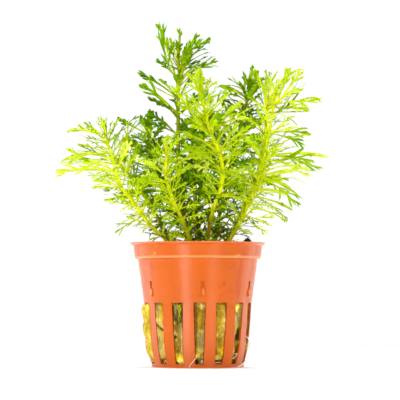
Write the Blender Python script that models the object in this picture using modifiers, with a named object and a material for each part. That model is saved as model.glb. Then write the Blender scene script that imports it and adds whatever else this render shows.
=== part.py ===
"""Giant ambulia, an aquarium stem plant, growing in its slotted plastic pot on a plug of mineral wool.

Units are metres, +Z is up, +X is the viewer's right and +Y points away from the viewer.
The origin is the centre of the pot's foot, on the surface that the pot stands on.
Ten stems stand in sockets in the wool, and each carries rings of divided leaves, its whorls.
A whorl is one piece: the swollen joint of the stem, which goes round it, and the leaves that grow from it.
"""

import math
import random
from dataclasses import dataclass

import bmesh
import bpy
from mathutils import Matrix, Quaternion, Vector
from mathutils.bvhtree import BVHTree

MM = 0.001
GAP = 0.35 * MM  # air between two pieces that touch in the real thing
UP = Vector((0.0, 0.0, 1.0))
TO_VIEWER = Vector((0.0, -1.0, 0.0))
VIEW_DISTANCE = 900 * MM
EYE_HEIGHT = 27 * MM

# Pot
WALL = 0.9 * MM
FLOOR = 0.9 * MM
# Outer side of the pot from the lip down to the foot, as radius and height.
POT_OUTLINE = (
    (27.5 * MM, 50.4 * MM),
    (27.5 * MM, 49.9 * MM),
    (26.1 * MM, 49.1 * MM),
    (25.6 * MM, 44.2 * MM),
    (24.3 * MM, 43.6 * MM),
    (21.9 * MM, 26.2 * MM),
    (20.7 * MM, 8.5 * MM),
    (18.9 * MM, 0.0),
)
POT_SIDES = 36
SLOTS = 15
SLOT_FOOT = 1.5 * MM
SLOT_HEAD = 26.0 * MM
SLOT_FOOT_WIDTH = 3.4 * MM
SLOT_HEAD_WIDTH = 4.9 * MM
SLOT_RADII = (16.5 * MM, 30.0 * MM)
SLOT_TURN = 2.0  # degrees that the front slot lies to the right
TABS = 6
TAB_TURN = 5.0
TAB_WIDTH = 1.5 * MM
TAB_HEIGHT = 3.1 * MM
TAB_RELIEF = 0.45 * MM
TAB_MIDDLE = 31.6 * MM
TAB_RADIUS = 22.65 * MM  # of the pot's outer face at that height
DRAINS = 6
DRAIN_RADII = (6.0 * MM, 15.0 * MM)
DRAIN_WIDTH = 3.2 * MM

# Wool
WOOL_SIDES = 20
LUMP_SIDES = 7
LUMP_RINGS = 4
WOOL_CLEARANCE = 0.45 * MM
WOOL_FOOT_RADIUS = 13.5 * MM
WOOL_EDGE_HEIGHT = 3.6 * MM  # where its chamfered foot meets the pot's wall
WOOL_TOP = 42.0 * MM
WOOL_CROWN = 43.2 * MM
WOOL_SHOULDER = (9.0 * MM, 43.0 * MM)
WOOL_ROUNDING = 2.0 * MM  # of the edge of its top
SOCKET_FOOT = 27.0 * MM
SOCKET_HEAD = 46.0 * MM  # of its cutter, clear above the wool
SOCKET_SIDES = 6
# Lumps of wool that squeeze out through two slots on the left, as height and half height.
BULGES = ((7.6 * MM, 3.7 * MM), (15.1 * MM, 3.6 * MM), (22.1 * MM, 3.2 * MM))
BULGE_SLOTS = (-3, -4)  # counted from the front slot
BULGE_REACH = 2.5 * MM
MOSS_PLACE = (20.3 * MM, 2.5 * MM, 45.0 * MM)
MOSS_HALF_SIZE = (2.5 * MM, 2.3 * MM, 8.0 * MM)

# Root that hangs out of a slot on the right, as angle from the front, radius and height.
ROOT_ROUTE = ((73.5, 20.4, 12.5), (74.0, 21.9, 10.6), (79.0, 21.5, 7.4), (74.0, 21.3, 3.9), (60.0, 20.6, 1.2),
              (52.0, 20.3, 0.4))
ROOT_RADIUS = 0.25 * MM

# Whorls
LEAVES = 5
RING_HEIGHT = 1.2 * MM
RING_WALL = 0.6 * MM
RING_TURN = 17.0  # degrees, of a stem's lowest ring about the stem
RING_TURN_STEP = 97.0  # more for each ring above
LEAF_THICKNESS = 0.5 * MM
STALK_END = 0.40  # share of the leaf's length that is bare stalk
BLADE_END = 0.70  # share at which the leaf's last lobe begins
STALK_WIDTH = 0.055  # of the leaf's length
BLADE_WIDTH = 0.050
LOBE_SHARE = 0.80  # how far along the leaf its side lobes point
LOBE_REACH = 0.19  # how far they stand out, of the leaf's length
ARCH = 0.12  # rise of a leaf's middle, of its length
DROOP = 0.10
LENGTH_SPREAD = (0.85, 1.1)
LEAN_SPREAD = 8.0  # degrees either way
LEAN_LIMITS = (22.0, 100.0)
FREE_FACING = (0.3, 0.9)  # how far a leaf's broad side turns to the viewer
AIMED_FACING = (0.5, 0.95)
END_ON = 0.2  # a leaf that points this closely at the viewer isn't turned

# Room for a leaf: each new proposal is looser, up to these limits.
TRIES = 60
SHORTEST = 0.55  # of its rule's length
SHORTEST_AIMED = 0.8
LOOSE_TURN = 35.0  # degrees round the stem
LOOSE_LEAN = 30.0
LOOSE_END = 3.0 * MM  # of an aimed leaf's end, as seen
LOOSE_DEPTH = 8.0 * MM
AIM_STEPS = 4
DEEPEST_AIM = 0.8  # depth of an aimed leaf's end from its stem, of its length as seen
DEPTH_COST = 0.25
PROBE_START = 2.2 * MM
PROBE_GROWTH = 0.45 * MM
RING_ROOM = 1.2 * MM
SEED = 11


@dataclass(frozen=True)
class Shoot:
    """A stem and the rule for its whorls, in millimetres and degrees, lowest value first.

    Sideways and upward values are as the viewer sees them against the upright plane through the pot's middle.
    """

    name: str
    route: tuple  # from the stem's foot in the wool to its tip
    radius: tuple
    whorls: tuple  # heights
    length: tuple  # of a leaf
    lean: tuple  # of a leaf away from the stem
    aims: tuple = ()  # whorl number, and how far right and up one of its leaves ends


SHOOTS = (
    Shoot(
        "tall",
        ((-3.0, 6.5, 46), (-5.6, 9, 61.7), (-7.2, 12, 76), (-8.0, 14, 90), (-8.0, 14, 103.3),
         (-8.0, 13, 111), (-7.6, 12, 118.8), (-8.1, 10, 128)),
        (1.1, 0.7), (68, 83, 95, 103.3, 110.2, 117.5, 125), (19, 13), (78, 38),
        (
            (3, -20.7, 109.4), (3, -24.4, 115.3), (4, -25.1, 120.0), (4, 6.0, 116.5),
            (5, -16.2, 142.0), (5, -17.2, 125.2), (5, 8.7, 124.8),
            (6, -11.3, 134.0), (6, -7.2, 138.7), (6, 0.2, 135.6), (6, 5.4, 133.5),
        ),
    ),
    Shoot(
        "front",
        ((3.2, -4, 46), (6.2, -11, 63.4), (8.7, -14, 69.9), (10.3, -18, 76.8), (9.9, -22, 82.9),
         (8.7, -25, 88.2), (5.4, -27, 95.1), (3.0, -26, 103.7), (1.8, -24, 111.8), (0.9, -23, 116.5)),
        (0.95, 0.6), (69.9, 79.9, 87.4, 94.7, 102.9, 112), (17, 11), (70, 36),
        (
            (1, 22.5, 84.0), (1, -3.0, 82.0), (2, -6.4, 96.0), (2, 22.0, 98.0),
            (3, -11.3, 115.2), (3, 17.6, 107.6), (4, 12.9, 112.2), (4, -8.6, 106.5),
            (5, 8.2, 116.5), (5, -5.2, 116.0), (5, 1.0, 122.4),
        ),
    ),
    Shoot(
        "right",
        ((9.5, -1, 46), (14.2, -2, 54.2), (17.2, -3, 60.9), (21.7, -5, 70.7), (24.6, -6, 78.9),
         (26.6, -6, 86.9), (27.9, -6, 96.3), (28.2, -5, 104.5), (27.2, -4, 113.5)),
        (1.15, 0.75), (62, 70, 77.5, 86, 95, 105.0, 112), (17, 11), (80, 40),
        (
            (0, 30.2, 57.0), (0, 25.0, 55.6), (1, 39.0, 63.4), (1, 37.0, 58.9), (2, 41.2, 69.6),
            (2, 40.4, 65.0), (3, 53.8, 85.1), (3, 50.4, 80.0), (3, 45.2, 72.8), (4, 44.2, 89.8),
            (4, 46.8, 94.4), (4, 17.0, 101.0), (5, 46.4, 104.3), (5, 49.6, 107.6), (6, 31.0, 118.0),
            (6, 21.5, 118.5),
        ),
    ),
    Shoot(
        "front_right",
        ((10.8, -9, 46), (17.4, -13, 58.9), (22.4, -18, 69.9), (26.2, -22, 80), (28.6, -24, 92.3),
         (30.3, -23, 101.2), (31.6, -22, 109.5)),
        (0.9, 0.55), (60, 73, 84, 95.5, 107), (15, 13), (72, 40),
        (
            (0, 31.5, 60.5), (1, 37.5, 70.0), (2, 41.5, 80.5), (3, 41.2, 97.4), (3, 14.5, 103.0),
            (4, 43.6, 121.0), (4, 38.0, 122.4), (4, 42.0, 112.6), (4, 29.6, 118.6),
        ),
    ),
    Shoot(
        "low_left",
        ((-6.0, -2, 46), (-11.4, -5, 50.5), (-17.0, -8, 55.2), (-20.7, -10, 59.3), (-27.6, -13, 68.6),
         (-32.1, -14, 74.4), (-34.2, -14, 82.0)),
        (0.9, 0.6), (58.5, 66, 73.4, 80), (13, 15), (62, 48),
        (
            (0, -29.2, 60.9), (0, -22.4, 54.4), (1, -38.2, 67.8), (1, -31.8, 62.8),
            (2, -43.6, 72.8), (2, -43.0, 76.4), (3, -58.5, 78.8), (3, -47.0, 82.5), (3, -29.5, 92.0),
        ),
    ),
    Shoot(
        "left",
        ((-7.4, 3.2, 46), (-11.6, 4, 52), (-15.4, 6, 58.9), (-23.5, 7, 71.9), (-31.7, 7, 82.5),
         (-36.4, 6, 89.5), (-38.2, 5, 98)),
        (0.95, 0.65), (63, 71, 79, 87.2, 94.5), (16, 11), (74, 40),
        (
            (2, -43.5, 84.5), (3, -49.6, 90.7), (3, -55.3, 83.6), (3, -24.5, 94.5),
            (4, -46.9, 99.6), (4, -53.0, 96.3), (4, -38.9, 103.2), (4, -31.6, 101.4),
        ),
    ),
    Shoot(
        "front_left",
        ((-1.8, -7.5, 46), (-7.6, -17, 62.5), (-9.7, -20, 67), (-12.9, -25, 76.8), (-12.9, -27, 82.1),
         (-12.7, -27, 90.5)),
        (0.9, 0.55), (64, 71.4, 78.5, 87), (14, 12), (66, 40),
        (
            (1, -4.0, 75.0), (1, -25.0, 76.5), (2, -4.6, 84.6), (2, -24.5, 84.0),
            (3, -14.2, 99.8), (3, -8.2, 99.0), (3, -23.8, 96.6),
        ),
    ),
    Shoot(
        "middle",
        ((1.4, 2.0, 46), (-0.6, 6, 62), (-1.0, 14, 76), (0.3, 22, 92), (1.2, 24, 98)),
        (0.95, 0.65), (64, 79, 93), (18, 14), (72, 45),
        ((2, 11.0, 99.0), (2, -3.0, 105.5)),
    ),
    Shoot(
        "back_right",
        ((5.6, 5.5, 46), (9.9, 13, 66), (15.2, 22, 88.2), (18.5, 26, 102.5), (21.7, 27, 113)),
        (1.0, 0.65), (78, 94, 109), (19, 13), (76, 36),
        (
            (1, 3.6, 104.0), (1, 30.0, 103.0), (2, 22.2, 123.4), (2, 18.6, 120.4), (2, 8.4, 114.6),
            (2, 29.8, 117.8),
        ),
    ),
    Shoot(
        "back_left",
        ((-0.6, 10, 46), (-6.0, 18, 58), (-11.3, 24, 68), (-17.4, 28, 82.1), (-21.0, 28, 97)),
        (0.95, 0.65), (72, 84, 95), (18, 13), (74, 44),
        ((2, -25.6, 103.3), (2, -18.4, 104.6), (2, -33.0, 101.0), (1, -31.0, 93.5)),
    ),
)

# Colours, linear, with roughness
ORANGE = ((0.86, 0.17, 0.033), 0.35)
OLIVE_WOOL = ((0.40, 0.30, 0.03), 0.95)
STEM_GREEN = ((0.42, 0.50, 0.02), 0.45)
LEAF_GREEN = ((0.30, 0.55, 0.01), 0.5)
ROOT_WHITE = ((0.85, 0.80, 0.60), 0.6)


def clear_scene():
    """Remove every object of the scene that the script is run in."""
    for thing in list(bpy.data.objects):
        bpy.data.objects.remove(thing, do_unlink=True)


def new_collection(name):
    """A collection in the scene."""
    collection = bpy.data.collections.new(name)
    bpy.context.scene.collection.children.link(collection)
    return collection


def new_material(name, finish):
    """A Principled material from a linear colour and a roughness."""
    colour, roughness = finish
    material = bpy.data.materials.new(name)
    material.use_nodes = True
    shader = material.node_tree.nodes["Principled BSDF"]
    shader.inputs["Base Color"].default_value = (*colour, 1.0)
    shader.inputs["Roughness"].default_value = roughness
    shader.inputs["Metallic"].default_value = 0.0
    material.diffuse_color = (*colour, 1.0)
    return material


def new_object(name, data, collection, material=None):
    """An object in the collection, with its material."""
    thing = bpy.data.objects.new(name, data)
    collection.objects.link(thing)
    if material:
        data.materials.append(material)
    return thing


def mesh_from(bm, name):
    """A mesh datablock from a finished bmesh, faces out."""
    bmesh.ops.recalc_face_normals(bm, faces=bm.faces)
    if bm.calc_volume(signed=True) < 0:
        bmesh.ops.reverse_faces(bm, faces=bm.faces)
    mesh = bpy.data.meshes.new(name)
    bm.to_mesh(mesh)
    bm.free()
    return mesh


def around(angle, radius, height):
    """A point by its angle in degrees to the right of the front, its radius and its height."""
    turn = math.radians(angle)
    return Vector((radius * math.sin(turn), -radius * math.cos(turn), height))


def facing(angle):
    """The rotation that takes -Y to the angle in degrees to the right of the front."""
    return Matrix.Rotation(math.radians(angle), 4, "Z")


def mix(pair, share):
    """A value between the two of a pair."""
    return pair[0] + (pair[1] - pair[0]) * share


def turned(name, outline, sides, collection, material=None):
    """A solid of revolution from points on +X, which run down its outer side."""
    bm = bmesh.new()
    points = [bm.verts.new((radius, 0.0, height)) for radius, height in outline]
    for first, second in zip(points, points[1:]):
        bm.edges.new((first, second))
    mesh = bpy.data.meshes.new(name)
    bm.to_mesh(mesh)
    bm.free()
    thing = new_object(name, mesh, collection, material)
    screw = thing.modifiers.new("Turn", "SCREW")
    screw.steps = sides
    screw.render_steps = sides
    screw.use_merge_vertices = True
    screw.merge_threshold = 0.01 * MM
    screw.use_smooth_shade = True
    return thing


def block(bm, angle, radii, heights, foot_width, head_width):
    """Add a radial block to the bmesh, with its own width at the foot and at the head."""
    made = bmesh.ops.create_cube(bm, size=1.0)["verts"]
    for corner in made:
        side, depth, rise = corner.co
        width = mix((foot_width, head_width), rise + 0.5)
        corner.co = (side * width, -mix(radii, 0.5 - depth), mix(heights, rise + 0.5))
    bmesh.ops.transform(bm, matrix=facing(angle), verts=made)


def ball(bm, place, half_size, angle=0.0):
    """Add a lump to the bmesh, turned about the pot's axis."""
    scale = Matrix.Diagonal((*half_size, 1.0))
    matrix = Matrix.Translation(place) @ facing(angle) @ scale
    bmesh.ops.create_uvsphere(bm, u_segments=LUMP_SIDES, v_segments=LUMP_RINGS, radius=1.0, matrix=matrix)


def boolean(target, name, operation, bm, cutters):
    """Cut or join a bmesh of closed bodies, kept as a hidden tool object."""
    tool = new_object(name, mesh_from(bm, name), cutters)
    tool.hide_render = True
    tool.display_type = "WIRE"
    modifier = target.modifiers.new(name, "BOOLEAN")
    modifier.operation = operation
    modifier.solver = "EXACT"
    modifier.object = tool


def pot_inside(height):
    """Inner radius of the pot's wall at a height, below its collar."""
    rows = [(radius - WALL, level) for radius, level in reversed(POT_OUTLINE[4:])]
    for (low_radius, low), (high_radius, high) in zip(rows, rows[1:]):
        if low <= height <= high:
            return mix((low_radius, high_radius), (height - low) / (high - low))
    return rows[-1][0]


def build_pot(parts, cutters, material):
    """The slotted pot, one moulding."""
    lip, _, collar_head, collar_foot, body_head, slot_head, belly, foot = POT_OUTLINE
    inner = [
        (0.0, FLOOR),
        (foot[0] - WALL, FLOOR),
        (belly[0] - WALL, belly[1]),
        (slot_head[0] - WALL, slot_head[1]),
        (body_head[0] - WALL, body_head[1]),
        (collar_foot[0] - WALL, collar_foot[1] + WALL),
        (collar_head[0] - WALL, lip[1]),
    ]
    pot = turned("pot", inner + list(POT_OUTLINE) + [(0.0, 0.0)], POT_SIDES, parts, material)

    holes = bmesh.new()
    for number in range(SLOTS):
        angle = SLOT_TURN + number * 360.0 / SLOTS
        block(holes, angle, SLOT_RADII, (SLOT_FOOT, SLOT_HEAD), SLOT_FOOT_WIDTH, SLOT_HEAD_WIDTH)
    for number in range(DRAINS):
        angle = SLOT_TURN + number * 360.0 / DRAINS
        block(holes, angle, DRAIN_RADII, (-FLOOR, 2 * FLOOR), DRAIN_WIDTH, DRAIN_WIDTH)
    lips = bmesh.new()
    for number in range(TABS):
        angle = TAB_TURN + number * 360.0 / TABS
        recess = (TAB_RADIUS - TAB_RELIEF, TAB_RADIUS + WALL)
        block(holes, angle, recess, (TAB_MIDDLE, TAB_MIDDLE + TAB_HEIGHT), TAB_WIDTH, TAB_WIDTH)
        lip_radii = (TAB_RADIUS - WALL * 0.6, TAB_RADIUS + TAB_RELIEF)
        block(lips, angle, lip_radii, (TAB_MIDDLE - TAB_HEIGHT, TAB_MIDDLE), TAB_WIDTH, TAB_WIDTH)
    boolean(pot, "pot_holes", "DIFFERENCE", holes, cutters)
    boolean(pot, "pot_tab_lips", "UNION", lips, cutters)
    return pot


def build_wool(parts, cutters, material):
    """The plug of mineral wool, with its bulges, its moss and a socket for each stem."""
    edge = pot_inside(WOOL_EDGE_HEIGHT) - WOOL_CLEARANCE
    belly_height = POT_OUTLINE[6][1]
    slot_height = POT_OUTLINE[5][1]
    outline = [
        (0.0, WOOL_CROWN),
        WOOL_SHOULDER,
        (pot_inside(WOOL_TOP) - WOOL_ROUNDING, WOOL_TOP),
        (pot_inside(WOOL_TOP) - WOOL_CLEARANCE, WOOL_TOP - WOOL_ROUNDING),
        (pot_inside(slot_height) - WOOL_CLEARANCE, slot_height),
        (pot_inside(belly_height) - WOOL_CLEARANCE, belly_height),
        (edge, WOOL_EDGE_HEIGHT),
        (WOOL_FOOT_RADIUS, FLOOR + GAP),
        (0.0, FLOOR + GAP),
    ]
    wool = turned("mineral_wool", outline, WOOL_SIDES, parts, material)

    lumps = bmesh.new()
    for slot in BULGE_SLOTS:
        angle = SLOT_TURN + slot * 360.0 / SLOTS
        for height, half_height in BULGES:
            share = (height - SLOT_FOOT) / (SLOT_HEAD - SLOT_FOOT)
            half_width = mix((SLOT_FOOT_WIDTH, SLOT_HEAD_WIDTH), share) / 2 - GAP
            middle = pot_inside(height) - WALL
            ball(lumps, around(angle, middle, height), (half_width, BULGE_REACH, half_height), angle)
    ball(lumps, MOSS_PLACE, MOSS_HALF_SIZE)
    boolean(wool, "wool_lumps", "UNION", lumps, cutters)

    sockets = bmesh.new()
    depth = SOCKET_HEAD - SOCKET_FOOT
    for shoot in SHOOTS:
        foot = stem_points(shoot)[0]
        width = (shoot.radius[0] * MM + GAP) / math.cos(math.pi / SOCKET_SIDES)
        bmesh.ops.create_cone(
            sockets,
            cap_ends=True,
            segments=SOCKET_SIDES,
            radius1=width,
            radius2=width,
            depth=depth,
            matrix=Matrix.Translation((foot.x, foot.y, SOCKET_FOOT + depth / 2)),
        )
    boolean(wool, "wool_sockets", "DIFFERENCE", sockets, cutters)
    return wool


def tube(name, points, radii, collection, material):
    """A closed tube along the points, as a mesh, from a curve with a round bevel."""
    curve = bpy.data.curves.new(name, "CURVE")
    curve.dimensions = "3D"
    curve.bevel_depth = 1.0
    curve.bevel_resolution = 1
    curve.use_fill_caps = True
    spline = curve.splines.new("POLY")
    spline.points.add(len(points) - 1)
    for target, point, radius in zip(spline.points, points, radii):
        target.co = (*point, 1.0)
        target.radius = radius
    guide = new_object(name + "_line", curve, collection)
    evaluated = guide.evaluated_get(bpy.context.evaluated_depsgraph_get())
    bm = bmesh.new()
    bm.from_mesh(bpy.data.meshes.new_from_object(evaluated))
    bmesh.ops.remove_doubles(bm, verts=bm.verts, dist=0.001 * MM)
    bpy.data.objects.remove(guide, do_unlink=True)
    return new_object(name, mesh_from(bm, name), collection, material)


def seen_at(right, depth, up):
    """The place that shows at a point of the upright middle plane and lies at a depth behind it."""
    growth = 1 + depth / VIEW_DISTANCE
    return Vector((right * growth, depth, EYE_HEIGHT + (up - EYE_HEIGHT) * growth))


def stem_points(shoot):
    """The stem's line in metres, with its straight foot in the wool."""
    points = [seen_at(*(value * MM for value in point)) for point in shoot.route]
    foot = Vector((points[0].x, points[0].y, SOCKET_FOOT + GAP))
    return [foot] + points


def build_stem(shoot, parts, material):
    """One stem, thinner towards its tip."""
    points = stem_points(shoot)
    height = points[-1].z - points[1].z
    radii = [mix(shoot.radius, max(0.0, point.z - points[1].z) / height) * MM for point in points]
    return tube("stem_" + shoot.name, points, radii, parts, material)


def stem_at(shoot, seen_height):
    """Place, direction and radius of a stem where the viewer sees it at a height."""
    route = shoot.route
    points = stem_points(shoot)[1:]
    for low, high, (_, _, low_seen), (_, _, high_seen) in zip(points, points[1:], route, route[1:]):
        if low_seen <= seen_height <= high_seen:
            place = low.lerp(high, (seen_height - low_seen) / (high_seen - low_seen))
            share = (seen_height - route[0][2]) / (route[-1][2] - route[0][2])
            return place, (high - low).normalized(), mix(shoot.radius, share) * MM
    raise ValueError(f"{shoot.name} has no stem at {seen_height}")


@dataclass
class Leaf:
    """The line and the size of one leaf."""

    root: Vector
    tip: Vector
    axis: Vector  # of the stem where the leaf grows
    roll: float

    def size(self):
        """Length from root to tip."""
        return (self.tip - self.root).length

    def at(self, share):
        """Point, direction, side and upper side of the leaf at a share of its length."""
        control = self.root.lerp(self.tip, 0.5) + self.axis * ARCH * self.size()
        first = self.root.lerp(control, share)
        second = control.lerp(self.tip, share)
        direction = (second - first).normalized()
        side = self.axis.cross(direction).normalized()
        side = Quaternion(direction, self.roll * min(1.0, share / STALK_END)) @ side
        return first.lerp(second, share), direction, side, direction.cross(side)


def corners(face, side, rise):
    """For each corner of a face, on which side and how high it lies."""
    middle = face.calc_center_median()
    signs = []
    for corner in face.verts:
        offset = corner.co - middle
        signs.append((math.copysign(1.0, offset.dot(side)), math.copysign(1.0, offset.dot(rise))))
    return signs


def set_corners(face, signs, leaf, share, width, thickness):
    """Put a four-sided face across the leaf."""
    middle, _, side, rise = leaf.at(share)
    for corner, (across, above) in zip(face.verts, signs):
        corner.co = middle + side * across * width / 2 + rise * above * thickness / 2


def grow_leaf(bm, face, leaf, growth=0.0):
    """Extrude a leaf with two side lobes and a pointed end from a four-sided face."""
    length = leaf.size()
    thickness = LEAF_THICKNESS + growth
    _, _, side, rise = leaf.at(0.0)
    signs = corners(face, side, rise)
    for share, width in ((STALK_END, STALK_WIDTH), (BLADE_END, BLADE_WIDTH)):
        face = bmesh.ops.extrude_discrete_faces(bm, faces=[face])["faces"][0]
        set_corners(face, signs, leaf, share, width * length + growth, thickness)
    flanks = {}
    for edge in face.edges:
        across = [signs[list(face.verts).index(corner)][0] for corner in edge.verts]
        if across[0] == across[1]:
            flanks[across[0]] = next(other for other in edge.link_faces if other is not face)
    for across, flank in flanks.items():
        middle, _, side, _ = leaf.at(LOBE_SHARE)
        point = bmesh.ops.poke(bm, faces=[flank])["verts"][0]
        point.co = middle + side * across * (LOBE_REACH * length + growth)
    point = bmesh.ops.poke(bm, faces=[face])["verts"][0]
    point.co = leaf.tip + (leaf.tip - leaf.root).normalized() * growth


class Thicket:
    """The pieces already in place, which a new leaf keeps clear of."""

    def __init__(self):
        self.placed = []

    def add(self, bm, owner=None):
        """Add the surface of a bmesh, and the whorl that it belongs to."""
        low = Vector(min(vert.co[axis] for vert in bm.verts) for axis in range(3))
        high = Vector(max(vert.co[axis] for vert in bm.verts) for axis in range(3))
        self.placed.append((owner, low, high, BVHTree.FromBMesh(bm)))

    def add_object(self, thing):
        """Add an object as its modifiers leave it."""
        bm = bmesh.new()
        bm.from_object(thing, bpy.context.evaluated_depsgraph_get())
        self.add(bm)
        bm.free()

    def hits(self, bm, owner, own):
        """Whether a bmesh crosses something in place, of its own whorl or else of the rest."""
        low = Vector(min(vert.co[axis] for vert in bm.verts) for axis in range(3))
        high = Vector(max(vert.co[axis] for vert in bm.verts) for axis in range(3))
        tree = BVHTree.FromBMesh(bm)
        for other_owner, other_low, other_high, other in self.placed:
            apart = any(low[axis] > other_high[axis] or high[axis] < other_low[axis] for axis in range(3))
            if (other_owner is owner) == own and not apart and tree.overlap(other):
                return True
        return False


def probe_for(leaf, start):
    """A slightly swollen copy of a leaf without its first stretch, to test for room."""
    bm = bmesh.new()
    square = [bm.verts.new(corner) for corner in ((1, 1, 0), (-1, 1, 0), (-1, -1, 0), (1, -1, 0))]
    face = bm.faces.new(square)
    middle, _, side, rise = leaf.at(start / leaf.size())
    for corner, (across, above) in zip(square, ((1, 1), (-1, 1), (-1, -1), (1, -1))):
        corner.co = middle + (side * across + rise * above) * LEAF_THICKNESS
    grow_leaf(bm, face, leaf, PROBE_GROWTH)
    return bm


def roll_to_viewer(leaf, amount):
    """The roll that turns the leaf's broad side part of the way to the viewer."""
    leaf.roll = 0.0
    _, direction, _, rise = leaf.at(BLADE_END)
    wanted = TO_VIEWER - direction * TO_VIEWER.dot(direction)
    if wanted.length < END_ON:
        return 0.0
    angle = math.atan2(rise.cross(wanted).dot(direction), rise.dot(wanted))
    if angle > math.pi / 2:
        angle -= math.pi
    elif angle < -math.pi / 2:
        angle += math.pi
    return angle * amount


@dataclass(eq=False)
class Whorl:
    """A ring round a stem, and the faces of it that still have to grow a leaf."""

    shoot: Shoot
    number: int
    place: Vector
    axis: Vector
    bm: bmesh.types.BMesh
    free: list

    def share(self):
        """How far up its stem the whorl is, from 0 for the lowest to 1 for the highest."""
        return self.number / (len(self.shoot.whorls) - 1)


def start_whorl(shoot, number, thicket):
    """The ring of a whorl, with a flat for each leaf."""
    place, axis, radius = stem_at(shoot, shoot.whorls[number])
    inner = (radius + GAP) / math.cos(math.pi / LEAVES)
    turn = Matrix.Rotation(math.radians(RING_TURN + RING_TURN_STEP * number), 3, axis)
    start = turn @ axis.orthogonal().normalized()
    whorl = Whorl(shoot, number, place, axis, ring(place, axis, start, inner, RING_WALL, RING_HEIGHT), [])
    outside = inner * math.cos(math.pi / LEAVES) + RING_WALL / 2
    for face in whorl.bm.faces:
        offset = face.calc_center_median() - place
        if abs(offset.dot(axis)) < RING_HEIGHT / 4 and offset.length > outside:
            whorl.free.append(face)
    room = ring(place, axis, start, inner, RING_WALL + RING_ROOM, RING_HEIGHT + RING_ROOM)
    thicket.add(room, whorl)
    room.free()
    return whorl


def ring(place, axis, start, inner, wall, height):
    """A closed ring round an axis, upright outside and with a sharp edge towards the stem."""
    bm = bmesh.new()
    outer = inner + wall
    rise = axis * height / 2
    section = [start * inner, start * outer - rise, start * outer + rise]
    points = [bm.verts.new(place + point) for point in section]
    edges = [bm.edges.new((first, second)) for first, second in zip(points, points[1:] + points[:1])]
    bmesh.ops.spin(
        bm, geom=edges, cent=place, axis=axis, angle=2 * math.pi, steps=LEAVES, use_merge=True
    )
    bmesh.ops.remove_doubles(bm, verts=bm.verts, dist=0.001 * MM)
    bmesh.ops.recalc_face_normals(bm, faces=bm.faces)
    return bm


def crosses_itself(bm):
    """Whether two faces of a bmesh that share no corner cross."""
    bm.faces.ensure_lookup_table()
    tree = BVHTree.FromBMesh(bm)
    return any(
        first < second and not set(bm.faces[first].verts) & set(bm.faces[second].verts)
        for first, second in tree.overlap(tree)
    )


def suits(whorl, face, leaf):
    """Whether the whorl could grow the leaf from its face without crossing itself."""
    whorl.bm.faces.index_update()
    trial = whorl.bm.copy()
    trial.faces.ensure_lookup_table()
    grow_leaf(trial, trial.faces[face.index], leaf)
    bmesh.ops.triangulate(trial, faces=trial.faces)
    crossed = crosses_itself(trial)
    trial.free()
    return not crossed


def try_leaves(whorl, face, leaves, thicket):
    """Grow the first of the proposed leaves that has room, and say whether one had."""
    for leaf in leaves:
        whole = probe_for(leaf, 0.0)
        outer = probe_for(leaf, PROBE_START)
        blocked = thicket.hits(whole, whorl, own=False) or thicket.hits(outer, whorl, own=True)
        fits = not blocked and suits(whorl, face, leaf)
        if fits:
            thicket.add(whole, whorl)
            grow_leaf(whorl.bm, face, leaf)
        whole.free()
        outer.free()
        if fits:
            return True
    return False


def aimed_leaves(whorl, root, aim, dice):
    """Proposals for a leaf that ends at a given point, each a little looser than the last."""
    for attempt in range(TRIES):
        loose = attempt / TRIES
        sideways, upwards, deeper = (dice.uniform(-loose, loose) for _ in range(3))
        tip = aim + Vector((sideways * LOOSE_END, deeper * LOOSE_DEPTH, upwards * LOOSE_END))
        leaf = Leaf(root, root.lerp(tip, mix((1.0, SHORTEST_AIMED), loose)), whorl.axis, 0.0)
        leaf.roll = roll_to_viewer(leaf, dice.uniform(*AIMED_FACING))
        yield leaf


def free_leaves(whorl, root, out, dice):
    """Proposals for a leaf by its stem's rule, each a little shorter and looser than the last."""
    share = whorl.share()
    length = mix(whorl.shoot.length, share) * MM * dice.uniform(*LENGTH_SPREAD)
    lean = mix(whorl.shoot.lean, share) + dice.uniform(-LEAN_SPREAD, LEAN_SPREAD)
    for attempt in range(TRIES):
        loose = attempt / TRIES
        turn = Quaternion(whorl.axis, math.radians(dice.uniform(-LOOSE_TURN, LOOSE_TURN) * loose))
        least, most = LEAN_LIMITS
        angle = math.radians(min(most, max(least, lean + dice.uniform(-LOOSE_LEAN, LOOSE_LEAN) * loose)))
        direction = whorl.axis * math.cos(angle) + (turn @ out) * math.sin(angle)
        reach = length * mix((1.0, SHORTEST), loose)
        tip = root + direction * reach - UP * DROOP * reach * math.sin(angle)
        leaf = Leaf(root, tip, whorl.axis, 0.0)
        leaf.roll = roll_to_viewer(leaf, dice.uniform(*FREE_FACING))
        yield leaf


def best_aim(whorl, right, up):
    """The free face, and the end of its leaf, that suit a leaf which the viewer sees end at a point."""
    flat = math.hypot(right - whorl.place.x, up - whorl.place.z)
    best = None
    for face in whorl.free:
        out = (face.calc_center_median() - whorl.place).normalized()
        for step in range(-AIM_STEPS, AIM_STEPS + 1):
            depth = DEEPEST_AIM * step / AIM_STEPS
            tip = seen_at(right, whorl.place.y + flat * depth, up)
            wanted = tip - whorl.place
            wanted -= whorl.axis * wanted.dot(whorl.axis)
            fit = out.dot(wanted.normalized()) - DEPTH_COST * abs(depth)
            if best is None or fit > best[0]:
                best = (fit, face, tip)
    return best[1:]


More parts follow.
